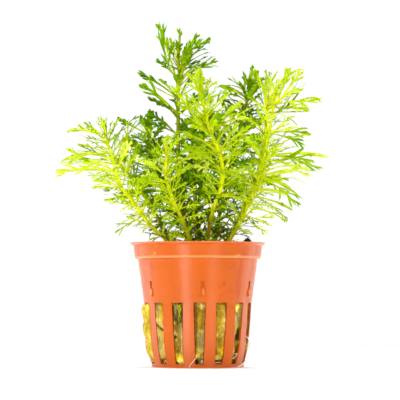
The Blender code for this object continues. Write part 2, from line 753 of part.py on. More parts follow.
def grow_whorls(thicket):
    """All whorls: their rings first, then the leaves with a set place, then the others."""
    whorls = {}
    for shoot in SHOOTS:
        for number in range(len(shoot.whorls)):
            whorls[shoot.name, number] = start_whorl(shoot, number, thicket)
    dice = random.Random(SEED)
    for shoot in SHOOTS:
        for number, right, up in shoot.aims:
            whorl = whorls[shoot.name, number]
            face, goal = best_aim(whorl, right * MM, up * MM)
            root = face.calc_center_median()
            if try_leaves(whorl, face, aimed_leaves(whorl, root, goal, dice), thicket):
                whorl.free.remove(face)
    for whorl in whorls.values():
        for face in whorl.free:
            root = face.calc_center_median()
            out = (root - whorl.place).normalized()
            try_leaves(whorl, face, free_leaves(whorl, root, out, dice), thicket)
    return whorls


def build_root(parts, material):
    """The white root that hangs out of a slot and ends on the ground."""
    points = [around(angle, radius * MM, height * MM) for angle, radius, height in ROOT_ROUTE]
    return tube("root", points, [ROOT_RADIUS] * len(points), parts, material)


def main():
    """Build the pot, the wool, the stems, the whorls and the root."""
    clear_scene()
    parts = new_collection("giant_ambulia")
    cutters = new_collection("cutters")
    stem_green = new_material("stem", STEM_GREEN)
    leaf_green = new_material("leaf", LEAF_GREEN)
    pot = build_pot(parts, cutters, new_material("orange_plastic", ORANGE))
    wool = build_wool(parts, cutters, new_material("mineral_wool", OLIVE_WOOL))
    build_root(parts, new_material("root", ROOT_WHITE))
    thicket = Thicket()
    thicket.add_object(pot)
    thicket.add_object(wool)
    for shoot in SHOOTS:
        thicket.add_object(build_stem(shoot, parts, stem_green))
    for (name, number), whorl in grow_whorls(thicket).items():
        node = f"whorl_{name}_{number + 1}"
        bmesh.ops.triangulate(whorl.bm, faces=whorl.bm.faces)
        new_object(node, mesh_from(whorl.bm, node), parts, leaf_green)


main()
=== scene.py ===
"""Looks of the giant ambulia, an aquarium stem plant in a slotted plastic pot with mineral wool.

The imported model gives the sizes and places. Each piece here lies where its solid lies: the leaves of every
shoot grow along the lines of the leaves in the model, and the pot, the wool, the stems and the root follow
the same named sizes. Lengths are metres unless a name or a note says millimetres, +Z is up, +X is the
viewer's right and +Y points away from the viewer.
"""

import logging
import math
import random
from collections.abc import Iterable, Sequence
from dataclasses import dataclass, field, replace
from enum import Enum

import bmesh
import bpy
import numpy as np
from mathutils import Matrix, Quaternion, Vector, noise


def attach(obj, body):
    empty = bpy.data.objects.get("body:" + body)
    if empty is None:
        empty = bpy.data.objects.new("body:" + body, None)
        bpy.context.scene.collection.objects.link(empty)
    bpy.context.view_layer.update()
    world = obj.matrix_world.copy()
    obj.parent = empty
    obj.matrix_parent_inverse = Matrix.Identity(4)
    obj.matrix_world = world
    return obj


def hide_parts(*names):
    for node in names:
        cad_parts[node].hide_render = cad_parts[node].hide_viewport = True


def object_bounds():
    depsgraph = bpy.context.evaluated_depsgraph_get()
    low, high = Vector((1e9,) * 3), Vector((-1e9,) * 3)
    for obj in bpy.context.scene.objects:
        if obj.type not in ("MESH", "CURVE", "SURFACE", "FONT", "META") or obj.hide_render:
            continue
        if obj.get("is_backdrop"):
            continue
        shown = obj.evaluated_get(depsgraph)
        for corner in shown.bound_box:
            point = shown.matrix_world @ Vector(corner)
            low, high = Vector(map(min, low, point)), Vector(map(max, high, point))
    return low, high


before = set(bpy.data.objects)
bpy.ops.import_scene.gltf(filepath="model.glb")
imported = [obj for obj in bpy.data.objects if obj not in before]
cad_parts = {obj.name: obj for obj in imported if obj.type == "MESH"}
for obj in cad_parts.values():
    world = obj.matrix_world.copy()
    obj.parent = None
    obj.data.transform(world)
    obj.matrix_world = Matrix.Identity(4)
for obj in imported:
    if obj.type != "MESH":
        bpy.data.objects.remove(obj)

LOG = logging.getLogger("giant_ambulia")
MM = 0.001
GAP = 0.35 * MM  # that the model leaves between its parts
UP = Vector((0.0, 0.0, 1.0))
VIEW_DISTANCE = 900 * MM
EYE_HEIGHT = 27 * MM

Spot = tuple[float, float, float]
Colour = tuple[float, float, float]
Value = float | bpy.types.NodeSocket
Tint = Colour | bpy.types.NodeSocket
Lay = tuple[np.ndarray, ...]


def mix(first: float, second: float, share: float) -> float:
    """Return the value at a share of the way from the first to the second."""
    return first + (second - first) * share


def smooth_step(low: float, high: float, value: float) -> float:
    """Return 0 below low, 1 above high and a smooth rise between them."""
    share = min(1.0, max(0.0, (value - low) / (high - low)))
    return share * share * (3.0 - 2.0 * share)


def around(angle: float, radius: float, height: float) -> Vector:
    """Return the point at an angle in degrees to the right of the front, at a radius and a height."""
    turn = math.radians(angle)
    return Vector((radius * math.sin(turn), -radius * math.cos(turn), height))


def seen_at(right: float, depth: float, up: float) -> Vector:
    """Return the place that shows at a point of the upright middle plane, and lies a depth behind it."""
    growth = 1 + depth / VIEW_DISTANCE
    return Vector((right * growth, depth, EYE_HEIGHT + (up - EYE_HEIGHT) * growth))


def seen_route(route: Sequence[Spot]) -> list[Vector]:
    """Return the places of a route's points, each right, depth and up in millimetres as the viewer sees it."""
    return [seen_at(*(value * MM for value in point)) for point in route]


def smooth_line(points: Sequence[Vector], steps: int) -> list[Vector]:
    """Return a smooth line through all the points.

    Args:
        points: what the line passes through.
        steps: how many steps each stretch between two of them takes.

    Returns:
        The points of the line, the last one included.
    """
    ends = [points[0] * 2 - points[1], *points, points[-1] * 2 - points[-2]]
    line = []
    for before, low, high, after in zip(ends, ends[1:], ends[2:], ends[3:]):
        bend = before * 2 - low * 5 + high * 4 - after
        twist = low * 3 - before - high * 3 + after
        for t in (step / steps for step in range(steps)):
            line.append(0.5 * (low * 2 + (high - before) * t + bend * t**2 + twist * t**3))
    return line + [points[-1].copy()]


def in_scene(name: str, data: bpy.types.ID) -> bpy.types.Object:
    """Put a mesh, a light or a camera in the scene.

    Args:
        name: name of its object.
        data: the mesh, light or camera.

    Returns:
        The object.
    """
    thing = bpy.data.objects.new(name, data)
    bpy.context.scene.collection.objects.link(thing)
    return thing


def finished(name: str, bm: bmesh.types.BMesh) -> bpy.types.Mesh:
    """Turn a model into a mesh and free it.

    Args:
        name: the mesh's name.
        bm: the model.

    Returns:
        The mesh.
    """
    mesh = bpy.data.meshes.new(name)
    bm.to_mesh(mesh)
    bm.free()
    return mesh


def closed_skin(rows: int, columns: int, downward: bool = False) -> list[np.ndarray]:
    """Return the faces of a skin of rings, closed at both ends.

    Args:
        rows: how many rings it has.
        columns: how many corners each ring has.
        downward: whether the rings come from the top down.

    Returns:
        The faces of its side and those of its ends, by corner number.
    """
    row, column = np.meshgrid(np.arange(rows - 1) * columns, np.arange(columns), indexing="ij")
    after = (column + 1) % columns
    side = np.stack([row + column, row + after, row + after + columns, row + column + columns], -1).reshape(-1, 4)
    ends = np.array([np.arange(columns)[::-1], np.arange(columns) + (rows - 1) * columns])
    return [side[:, [0, 3, 2, 1]], ends[:, ::-1]] if downward else [side, ends]


# ---- Mesh stock


class MeshStock:
    """Vertices, faces and paint gathered from many small growths, for one mesh."""

    SHARP = 75.0  # degrees from which an edge stays crisp
    ACROSS = (0.0, 1.0, 0.13)  # a direction that no tube follows

    def __init__(self) -> None:
        """Start with nothing in stock."""
        self.places: list[np.ndarray] = []
        self.paints: list[np.ndarray] = []
        self.faces: list[np.ndarray] = []
        self.count = 0

    def add(self, places: np.ndarray, faces: Iterable[np.ndarray], paint: np.ndarray) -> None:
        """Add a growth.

        Args:
            places: its vertices, one row each.
            faces: arrays of faces by vertex number, each array with its own number of corners.
            paint: three values for each vertex.
        """
        self.places.append(places)
        self.paints.append(np.broadcast_to(paint, places.shape))
        self.faces.extend(corners + self.count for corners in faces)
        self.count += len(places)

    def strips(
        self, paths: np.ndarray, normals: np.ndarray, widths: np.ndarray, thicknesses: np.ndarray, paint: np.ndarray
    ) -> None:
        """Add slender closed strips that end in a point.

        Args:
            paths: the middle line of each strip, as strips by points by three.
            normals: the upper side at each point, in the same shape.
            widths: half the width at each point.
            thicknesses: how far the ridge along the upper side stands up at each point.
            paint: the paint at each point. Where its second value is below 1, it fades towards the edges.
        """
        strips, points, _ = paths.shape
        along = np.gradient(paths, axis=1)
        along /= np.linalg.norm(along, axis=2, keepdims=True) + 1e-12
        side = np.cross(normals, along)
        side /= np.linalg.norm(side, axis=2, keepdims=True) + 1e-12
        rise = np.cross(along, side)
        body, side, rise = paths[:, :-1], side[:, :-1], rise[:, :-1]
        wide, thick = widths[:, :-1, None], thicknesses[:, :-1, None]
        rings = np.stack([body + side * wide, body + rise * thick, body - side * wide], 2)
        places = np.concatenate([rings.reshape(strips, -1, 3), paths[:, -1:]], 1)
        shades = np.repeat(paint[:, :-1, None], 3, 2)
        shades[:, :, 0::2, 1] = np.clip(shades[:, :, 0::2, 1] * 2.0 - 1.0, 0.0, 1.0)
        shades = np.concatenate([shades.reshape(strips, -1, 3), paint[:, -1:]], 1)
        quads, _ = closed_skin(points - 1, 3)
        base, size = (points - 2) * 3, (points - 1) * 3 + 1
        ends = [[base + turn, base + (turn + 1) % 3, size - 1] for turn in range(3)]
        starts = np.arange(strips)[:, None, None] * size
        corners = np.array([*ends, [2, 1, 0]])[None] + starts
        faces = [(quads[None] + starts).reshape(-1, 4), corners.reshape(-1, 3)]
        self.add(places.reshape(-1, 3), faces, shades.reshape(-1, 3))

    def tube(self, line: Sequence[Vector], radii: Sequence[float], sides: int, paint: np.ndarray) -> None:
        """Add a closed tube with a blunt end.

        Args:
            line: the points that it follows.
            radii: its radius at each of them.
            sides: how many sides it has.
            paint: three values, or three for each point of the line.
        """
        path = np.array([tuple(point) for point in line])
        along = np.gradient(path, axis=0)
        along /= np.linalg.norm(along, axis=1, keepdims=True)
        across = np.cross(along, self.ACROSS)
        across /= np.linalg.norm(across, axis=1, keepdims=True)
        other = np.cross(along, across)
        turns = np.linspace(0, 2 * math.pi, sides, endpoint=False)
        ring = across[:, None] * np.cos(turns)[None, :, None] + other[:, None] * np.sin(turns)[None, :, None]
        places = path[:, None] + ring * np.asarray(radii)[:, None, None]
        shades = np.repeat(np.broadcast_to(paint, path.shape)[:, None], sides, 1)
        self.add(places.reshape(-1, 3), closed_skin(len(path), sides), shades.reshape(-1, 3))

    def to_object(self, name: str, material: bpy.types.Material) -> bpy.types.Object:
        """Make one smooth object of all that is in stock.

        Args:
            name: the piece's name.
            material: its finish.

        Returns:
            The object, in the scene.
        """
        mesh = bpy.data.meshes.new(name)
        places = np.concatenate(self.places)
        mesh.vertices.add(len(places))
        mesh.vertices.foreach_set("co", places.astype(np.float32).ravel())
        loops = np.concatenate([faces.ravel() for faces in self.faces]).astype(np.int32)
        counts = np.concatenate([np.full(len(faces), faces.shape[1]) for faces in self.faces])
        mesh.loops.add(len(loops))
        mesh.loops.foreach_set("vertex_index", loops)
        mesh.polygons.add(len(counts))
        mesh.polygons.foreach_set("loop_start", (np.cumsum(counts) - counts).astype(np.int32))
        mesh.polygons.foreach_set("use_smooth", np.ones(len(counts), bool))
        mesh.update(calc_edges=True)
        mesh.validate()
        mesh.set_sharp_from_angle(angle=math.radians(self.SHARP))
        colours = np.ones((len(places), 4), np.float32)
        colours[:, :3] = np.concatenate(self.paints)
        mesh.color_attributes.new("paint", "FLOAT_COLOR", "POINT").data.foreach_set("color", colours.ravel())
        mesh.materials.append(material)
        return in_scene(name, mesh)


# ---- Finishes


class NodeSheet:
    """The node tree of one finish, with short ways to add nodes to it."""

    def __init__(self, name: str) -> None:
        """Start a material that has nothing but its output.

        Args:
            name: the material's name.
        """
        self.material = bpy.data.materials.new(name)
        self.material.use_nodes = True
        self.tree = self.material.node_tree
        self.tree.nodes.clear()
        self.output = self.tree.nodes.new("ShaderNodeOutputMaterial")

    def put(self, socket: bpy.types.NodeSocket, value: Value | Tint) -> None:
        """Link a socket to a value that varies, or set it to a plain one.

        Args:
            socket: the socket.
            value: the value or colour, or the socket that it comes from.
        """
        if isinstance(value, bpy.types.NodeSocket):
            self.tree.links.new(value, socket)
        elif isinstance(value, tuple) and len(socket.default_value) == 4:
            socket.default_value = (*value, 1.0)
        else:
            socket.default_value = value

    def add(self, kind: str, inputs: dict[str | int, Value | Tint], **settings: object) -> bpy.types.Node:
        """Add a node.

        Args:
            kind: its type, without the words ShaderNode.
            inputs: what its inputs are set or linked to, by name or number.
            settings: its own settings.

        Returns:
            The node.
        """
        node = self.tree.nodes.new("ShaderNode" + kind)
        for name, value in settings.items():
            setattr(node, name, value)
        for key, value in inputs.items():
            self.put(node.inputs[key], value)
        return node

    def math(self, operation: str, *values: Value) -> bpy.types.NodeSocket:
        """Return the result of a Math node on one to three values."""
        return self.add("Math", dict(enumerate(values)), operation=operation).outputs[0]

    def times(self, first: Value, second: Value) -> bpy.types.NodeSocket:
        """Return the product of two values."""
        return self.math("MULTIPLY", first, second)

    def shift(self, value: Value, grain: Value, amount: float) -> bpy.types.NodeSocket:
        """Return a value that a grain of about 0.5 moves up and down by up to half the amount."""
        return self.math("ADD", value, self.times(self.math("SUBTRACT", grain, 0.5), amount))

    def step(self, value: Value, low: float, high: float) -> bpy.types.NodeSocket:
        """Return a smooth rise from 0 where the value is low to 1 where it is high."""
        inputs = {"Value": value, "From Min": low, "From Max": high}
        return self.add("MapRange", inputs, interpolation_type="SMOOTHSTEP").outputs["Result"]

    def band(self, value: Value, edges: tuple[float, float, float, float]) -> bpy.types.NodeSocket:
        """Return 1 between the inner two of four edges, and a smooth fall to 0 at the outer two."""
        return self.times(self.step(value, edges[0], edges[1]), self.step(value, edges[3], edges[2]))

    def noise(self, scale: float, stretch: Spot = (1.0, 1.0, 1.0), detail: float = 3.0) -> bpy.types.NodeSocket:
        """Return noise in the model's own space.

        Args:
            scale: how many grains a metre has.
            stretch: how much finer the grains are along each axis.
            detail: how many finer layers lie over it.

        Returns:
            The noise, about 0.5 in the middle.
        """
        place = self.add("TexCoord", {}).outputs["Object"]
        spread = self.add("VectorMath", {0: place, 1: stretch}, operation="MULTIPLY").outputs[0]
        return self.add("TexNoise", {"Vector": spread, "Scale": scale, "Detail": detail}).outputs[0]

    def blend(self, share: Value, first: Tint, second: Tint, way: str = "MIX") -> bpy.types.NodeSocket:
        """Return a colour at a share of the way between two others, or laid over the first in another way."""
        return self.add("Mix", {0: share, 6: first, 7: second}, data_type="RGBA", blend_type=way).outputs[2]

    def ramp(self, value: Value, colour: Tint, turns: Sequence[tuple[float, float, Colour]]) -> Tint:
        """Return a colour that turns to others, one after another, as a value rises.

        Args:
            value: the value.
            colour: what it starts from.
            turns: between which two values it turns to which colour.

        Returns:
            The colour.
        """
        for low, high, turned in turns:
            colour = self.blend(self.step(value, low, high), colour, turned)
        return colour

    def scale(self, value: Value, ends: tuple[float, float]) -> bpy.types.NodeSocket:
        """Return the first of two ends where the value is 0 and the second where it is 1."""
        return self.add("MapRange", {"Value": value, "To Min": ends[0], "To Max": ends[1]}).outputs["Result"]

    def bump(self, height: Value, depth: float) -> bpy.types.NodeSocket:
        """Return the normal of a surface that rises by the depth where the height is 1."""
        return self.add("Bump", {"Height": height, "Distance": depth, "Strength": 1.0}).outputs[0]

    def paint(self) -> list[bpy.types.NodeSocket]:
        """Return the three values of the piece's own paint, and the paint as a colour."""
        colour = self.add("Attribute", {}, attribute_name="paint").outputs["Color"]
        return [*self.add("SeparateColor", {0: colour}).outputs[:3], colour]

    def skin(self, colour: Tint, rough: Value, **others: Value | Tint) -> bpy.types.NodeSocket:
        """Return the surface of a shader, whose other inputs are named with _ for a space."""
        inputs = {name.replace("_", " "): value for name, value in others.items()}
        return self.add("BsdfPrincipled", {"Base Color": colour, "Roughness": rough, **inputs}).outputs[0]

    def close(self, surface: bpy.types.NodeSocket) -> bpy.types.Material:
        """Return the finished material with this surface."""
        self.tree.links.new(surface, self.output.inputs["Surface"])
        return self.material


@dataclass(frozen=True)
class LeafFinish:
    """Thin leaf tissue, whose paint holds its tone, how far it is midrib, and the share along it."""

    withered: Colour = (0.120, 0.060, 0.001)
    turns: tuple[tuple[float, float, Colour], ...] = (
        (0.04, 0.18, (0.045, 0.190, 0.0)),  # shaded
        (0.18, 0.50, (0.200, 0.450, 0.0)),  # full-grown
        (0.46, 0.80, (0.600, 0.750, 0.0)),  # fresh
        (0.86, 1.15, (0.840, 0.900, 0.200)),  # palest, reached by the freshest leaves and by the painted highlights
    )
    midrib: Colour = (0.780, 0.820, 0.030)
    pale_ribs: tuple[float, float] = (0.15, 0.70)  # tones between which the midrib pales
    lit: Colour = (0.84, 0.93, 0.02)  # of the light that comes through
    lit_share: float = 0.40
    glow: float = 0.60  # share of the light that comes through
    blotches: tuple[float, float] = (320.0, 0.16)  # grains a metre, and how far they change the tone
    veins: tuple[float, float] = (2600.0, 0.05 * MM)  # grains a metre, and height
    roughness: tuple[float, float] = (0.50, 0.62)  # at the root and at the tip
    gloss: float = 0.05

    def material(self) -> bpy.types.Material:
        """Make the finish.

        Returns:
            The material.
        """
        sheet = NodeSheet("leaf_tissue")
        tone, rib, along, _ = sheet.paint()
        tone = sheet.shift(tone, sheet.noise(self.blotches[0], detail=4.0), self.blotches[1])
        colour = sheet.ramp(tone, self.withered, self.turns)
        colour = sheet.blend(sheet.times(rib, sheet.step(tone, *self.pale_ribs)), colour, self.midrib)
        glowing = sheet.blend(self.lit_share, colour, self.lit)
        normal = sheet.bump(sheet.noise(self.veins[0], (1.0, 1.0, 0.35)), self.veins[1])
        rough = sheet.scale(along, self.roughness)
        front = sheet.skin(colour, rough, Normal=normal, Specular_IOR_Level=self.gloss)
        through = sheet.add("BsdfTranslucent", {"Color": glowing}).outputs[0]
        return sheet.close(sheet.add("MixShader", {0: self.glow, 1: front, 2: through}).outputs[0])


@dataclass(frozen=True)
class StemFinish:
    """Juicy stem, whose paint holds its tone, its brownness and the share along it."""

    dark: Colour = (0.045, 0.090, 0.002)
    turns: tuple[tuple[float, float, Colour], ...] = (
        (0.0, 0.45, (0.20, 0.23, 0.002)),  # olive
        (0.4, 0.85, (0.70, 0.72, 0.002)),  # fresh
    )
    brown: Colour = (0.190, 0.085, 0.001)
    streaks: tuple[float, float] = (900.0, 0.45)  # grains a metre, and how far they change the tone
    ribs: float = 0.12 * MM
    patches: tuple[float, float] = (380.0, 0.35)  # grains a metre, and how brown it is between them
    roughness: tuple[float, float] = (0.37, 0.61)
    gloss: float = 0.05

    def material(self) -> bpy.types.Material:
        """Make the finish.

        Returns:
            The material.
        """
        sheet = NodeSheet("stem_skin")
        tone, brownness, _, _ = sheet.paint()
        streaks = sheet.noise(self.streaks[0], (1.0, 1.0, 0.08), 4.0)
        colour = sheet.ramp(sheet.shift(tone, streaks, self.streaks[1]), self.dark, self.turns)
        patches = sheet.step(sheet.noise(self.patches[0], (1.0, 1.0, 0.3)), 0.35, 0.65)
        brownness = sheet.times(brownness, sheet.scale(patches, (self.patches[1], 1.0)))
        colour = sheet.blend(brownness, colour, self.brown)
        rough, normal = sheet.scale(streaks, self.roughness), sheet.bump(streaks, self.ribs)
        return sheet.close(sheet.skin(colour, rough, Normal=normal, Specular_IOR_Level=self.gloss))


@dataclass(frozen=True)
class WoolFinish:
    """Mineral wool overgrown with algae, whose paint is its colour at each place, with painted shade in its dents; the
    finish darkens it further where the pile dips, as painted shade in the crevices.
    """

    mottle: tuple[float, float] = (0.50, 1.50)  # darkest and palest, against the paint
    # Darkest and palest, against the paint, where the pile dips and where it rises: painted shade in the crevices.
    threads: tuple[float, float] = (0.6, 1.4)
    pile: float = 0.2 * MM
    roughness: float = 0.92
    gloss: float = 0.15

    def material(self) -> bpy.types.Material:
        """Make the finish.

        Returns:
            The material.
        """
        sheet = NodeSheet("overgrown_wool")
        mottle = sheet.scale(sheet.noise(700.0, (1.0, 1.0, 0.5), 6.0), self.mottle)
        # The same noise raises the pile, so the wool darkens where it dips: painted shade in the crevices. The mottle
        # is random.
        threads = sheet.noise(3200.0, (1.0, 1.0, 0.18), 3.0)
        shade = sheet.times(mottle, sheet.scale(threads, self.threads))
        mottle_and_crevice_shade = sheet.add("CombineColor", {0: shade, 1: shade, 2: shade}).outputs[0]
        colour = sheet.blend(1.0, sheet.paint()[3], mottle_and_crevice_shade, "MULTIPLY")
        normal = sheet.bump(threads, self.pile)
        return sheet.close(sheet.skin(colour, self.roughness, Normal=normal, Specular_IOR_Level=self.gloss))


@dataclass(frozen=True)
class RootFinish:
    """Waxy white root with faint brown stretches."""

    white: Colour = (0.86, 0.82, 0.66)
    aged: tuple[float, float, Colour] = (0.52, 0.75, (0.42, 0.30, 0.12))
    roughness: tuple[float, float] = (0.35, 0.6)
    waxy: float = 0.2
    depth: float = 0.5 * MM  # that light goes into it

    def material(self) -> bpy.types.Material:
        """Make the finish.

        Returns:
            The material.
        """
        sheet = NodeSheet("root_skin")
        stretches = sheet.noise(240.0)
        colour = sheet.ramp(stretches, self.white, [self.aged])
        rough = sheet.scale(stretches, self.roughness)
        return sheet.close(sheet.skin(colour, rough, Subsurface_Weight=self.waxy, Subsurface_Scale=self.depth))


@dataclass(frozen=True)
class Mark:
    """A mark on the pot, seen from the front, in degrees to the right and millimetres up: a damp or pale spot, or
    painted shade or a painted highlight on a tab.
    """

    angle: float
    height: float
    half_width: float  # degrees
    half_height: float
    strength: float
    hollow: float = 0.0  # how much of its middle is left bare


@dataclass(frozen=True)
class PlasticFinish:
    """Terracotta-orange moulded plastic with damp marks, dried specks and pale collar marks, painted highlights along
    its edges and tab ridges, and painted shade in the front tab's recess.
    """

    body: Colour = (0.53, 0.092, 0.001)
    pale: Colour = (0.57, 0.104, 0.003)
    # Darker orange of the damp marks, and of the painted shade in the front tab's recess.
    damp_and_shade: Colour = (0.50, 0.062, 0.0)
    # Pale orange of the painted highlights on the edges and tab ridges, and of the pale collar marks.
    highlight_and_pale_mark: Colour = (0.78, 0.30, 0.11)
    speck: Colour = (0.85, 0.40, 0.08)
    roughness: tuple[float, float] = (0.31, 0.41)
    smoother: float = 0.08  # where it is damp, and at the painted shade in the front tab's recess
    bend: float = 1.40  # of light that enters it
    brushed: float = 0.9  # how far highlights draw out up and down
    grain: float = 0.06 * MM
    wobble: tuple[float, float] = (9.0, 3.2)  # of the marks, in degrees and millimetres
    # Bands along the collar's lower edge and the lip that are painted with a highlight.
    collar_edge: tuple[float, float, float, float] = (43.6 * MM, 44.0 * MM, 44.5 * MM, 45.0 * MM)
    lip_edge: tuple[float, float] = (49.7 * MM, 50.0 * MM)
    edge_strengths: tuple[float, float] = (0.6, 0.3)  # of the painted highlights along the collar's and the lip's edges
    specked: tuple[float, float, float, float] = (-78.0, -60.0, -44.0, -28.0)  # degrees
    specked_above: tuple[float, float] = (34 * MM, 41 * MM)
    marks: tuple[Mark, ...] = (
        Mark(46.0, 36.0, 3.6, 9.5, 0.75),
        Mark(32.5, 41.0, 5.0, 1.5, 0.7, 0.55),
        Mark(27.0, 33.4, 1.6, 1.4, 0.9),
        Mark(23.5, 32.2, 1.2, 0.9, 0.9),
        Mark(36.0, 27.4, 13.5, 3.6, 0.8, 0.78),
        Mark(-3.0, 28.6, 5.5, 0.7, 0.75, 0.5),
        Mark(48.0, 46.6, 5.0, 2.6, 0.55),
        Mark(-52.0, 40.0, 4.0, 5.5, 0.3),
        Mark(20.5, 7.0, 0.7, 0.5, 0.9),
        Mark(19.0, 5.0, 0.6, 0.4, 0.9),
        Mark(-58.5, 8.0, 1.0, 1.6, 0.9),
        Mark(128.0, 33.0, 6.0, 7.0, 0.8),
        Mark(171.0, 38.0, 4.0, 4.0, 0.6, 0.5),
        Mark(-118.0, 30.0, 9.0, 3.0, 0.6, 0.7),
        Mark(-150.0, 41.0, 5.0, 2.0, 0.5),
        # Painted shade in the front tab's recess.
        Mark(5.0, 33.1, 1.7, 1.5, 0.6),
    )
    # The first three are painted highlights on tab ridges. The rest are pale marks on the collar.
    highlights_and_pale_marks: tuple[Mark, ...] = (
        Mark(5.0, 30.1, 1.6, 1.3, 0.5),
        Mark(-55.0, 30.1, 1.6, 1.3, 0.5),
        Mark(65.0, 30.1, 1.6, 1.3, 0.5),
        Mark(-63.0, 46.3, 3.0, 0.9, 0.4),
        Mark(-41.5, 45.6, 1.6, 0.7, 0.6),
        Mark(39.0, 44.6, 2.2, 0.7, 0.6),
    )

    def marked(self, sheet: NodeSheet, marks: tuple[Mark, ...], angle: Value, height: Value) -> Value:
        """Return how strongly the marks show.

        Args:
            sheet: the sheet that the nodes go on.
            marks: the marks.
            angle: degrees to the right of the front, with its own wobble.
            height: millimetres, with its own wobble.

        Returns:
            The strength, 0 to 1.
        """
        total: Value = 0.0
        for mark in marks:
            across = sheet.math("DIVIDE", sheet.math("SUBTRACT", angle, mark.angle), mark.half_width)
            upward = sheet.math("DIVIDE", sheet.math("SUBTRACT", height, mark.height), mark.half_height)
            distance = sheet.math("MULTIPLY_ADD", across, across, sheet.times(upward, upward))
            inside = sheet.step(distance, 1.3, 0.45)
            if mark.hollow:
                inside = sheet.times(inside, sheet.step(distance, mark.hollow - 0.25, mark.hollow))
            total = sheet.math("MAXIMUM", total, sheet.times(inside, mark.strength))
        return total

    def edges(self, sheet: NodeSheet, z: Value) -> Value:
        """Return how strongly the painted highlights along the moulded edges show.

        Args:
            sheet: the sheet that the nodes go on.
            z: the height.

        Returns:
            The strength, 0 to 1.
        """
        collar = sheet.times(sheet.band(z, self.collar_edge), self.edge_strengths[0])
        lip = sheet.times(sheet.step(z, *self.lip_edge), self.edge_strengths[1])
        return sheet.math("MAXIMUM", collar, lip)

    def specks(self, sheet: NodeSheet, place: Value, angle: Value, z: Value) -> Value:
        """Return where dried specks lie, at the upper left.

        Args:
            sheet: the sheet that the nodes go on.
            place: the place on the pot.
            angle: degrees to the right of the front.
            z: the height.

        Returns:
            The strength, 0 to 1.
        """
        dots = sheet.add("TexVoronoi", {"Vector": place, "Scale": 620.0}).outputs["Distance"]
        where = sheet.times(sheet.band(angle, self.specked), sheet.step(z, *self.specked_above))
        specks = sheet.times(sheet.step(dots, 0.24, 0.12), where)
        return sheet.times(specks, sheet.step(sheet.noise(480.0), 0.47, 0.56))

    def material(self) -> bpy.types.Material:
        """Make the finish.

        Returns:
            The material.
        """
        sheet = NodeSheet("orange_plastic")
        place = sheet.add("TexCoord", {}).outputs["Object"]
        x, y, z = sheet.add("SeparateXYZ", {0: place}).outputs
        angle = sheet.math("DEGREES", sheet.math("ARCTAN2", x, sheet.times(y, -1.0)))
        angle = sheet.shift(angle, sheet.noise(260.0, detail=4.0), self.wobble[0])
        height = sheet.shift(sheet.times(z, 1 / MM), sheet.noise(640.0, (1.0, 1.0, 1.3)), self.wobble[1])
        flow = sheet.noise(90.0, (1.0, 1.0, 0.25))
        # Damp marks, with the painted shade in the front tab's recess.
        damp_and_shade = self.marked(sheet, self.marks, angle, height)
        # Painted highlights on the edges and tab ridges, with the pale collar marks.
        highlit_and_pale = sheet.math("MAXIMUM", self.marked(sheet, self.highlights_and_pale_marks, angle, height), self.edges(sheet, z))
        specks = self.specks(sheet, place, angle, z)
        colour = sheet.blend(sheet.step(flow, 0.3, 0.75), self.body, self.pale)
        for share, laid in ((damp_and_shade, self.damp_and_shade), (highlit_and_pale, self.highlight_and_pale_mark), (specks, self.speck)):
            colour = sheet.blend(share, colour, laid)
        rough = sheet.math("SUBTRACT", sheet.scale(flow, self.roughness), sheet.times(damp_and_shade, self.smoother))
        skin = sheet.math("ADD", sheet.noise(1500.0), sheet.times(specks, 0.8))
        shine = {"Anisotropic": self.brushed, "Anisotropic_Rotation": 0.25, "IOR": self.bend}
        tangent = sheet.add("Tangent", {}, direction_type="RADIAL", axis="Z").outputs[0]
        return sheet.close(sheet.skin(colour, rough, Normal=sheet.bump(skin, self.grain), Tangent=tangent, **shine))


@dataclass(frozen=True)
class FloorFinish:
    """Plain pale studio floor."""

    colour: Colour = (0.93, 0.93, 0.93)

    def material(self) -> bpy.types.Material:
        """Return the material."""
        sheet = NodeSheet("studio_floor")
        return sheet.close(sheet.add("BsdfDiffuse", {"Color": self.colour}).outputs[0])


# ---- Pot


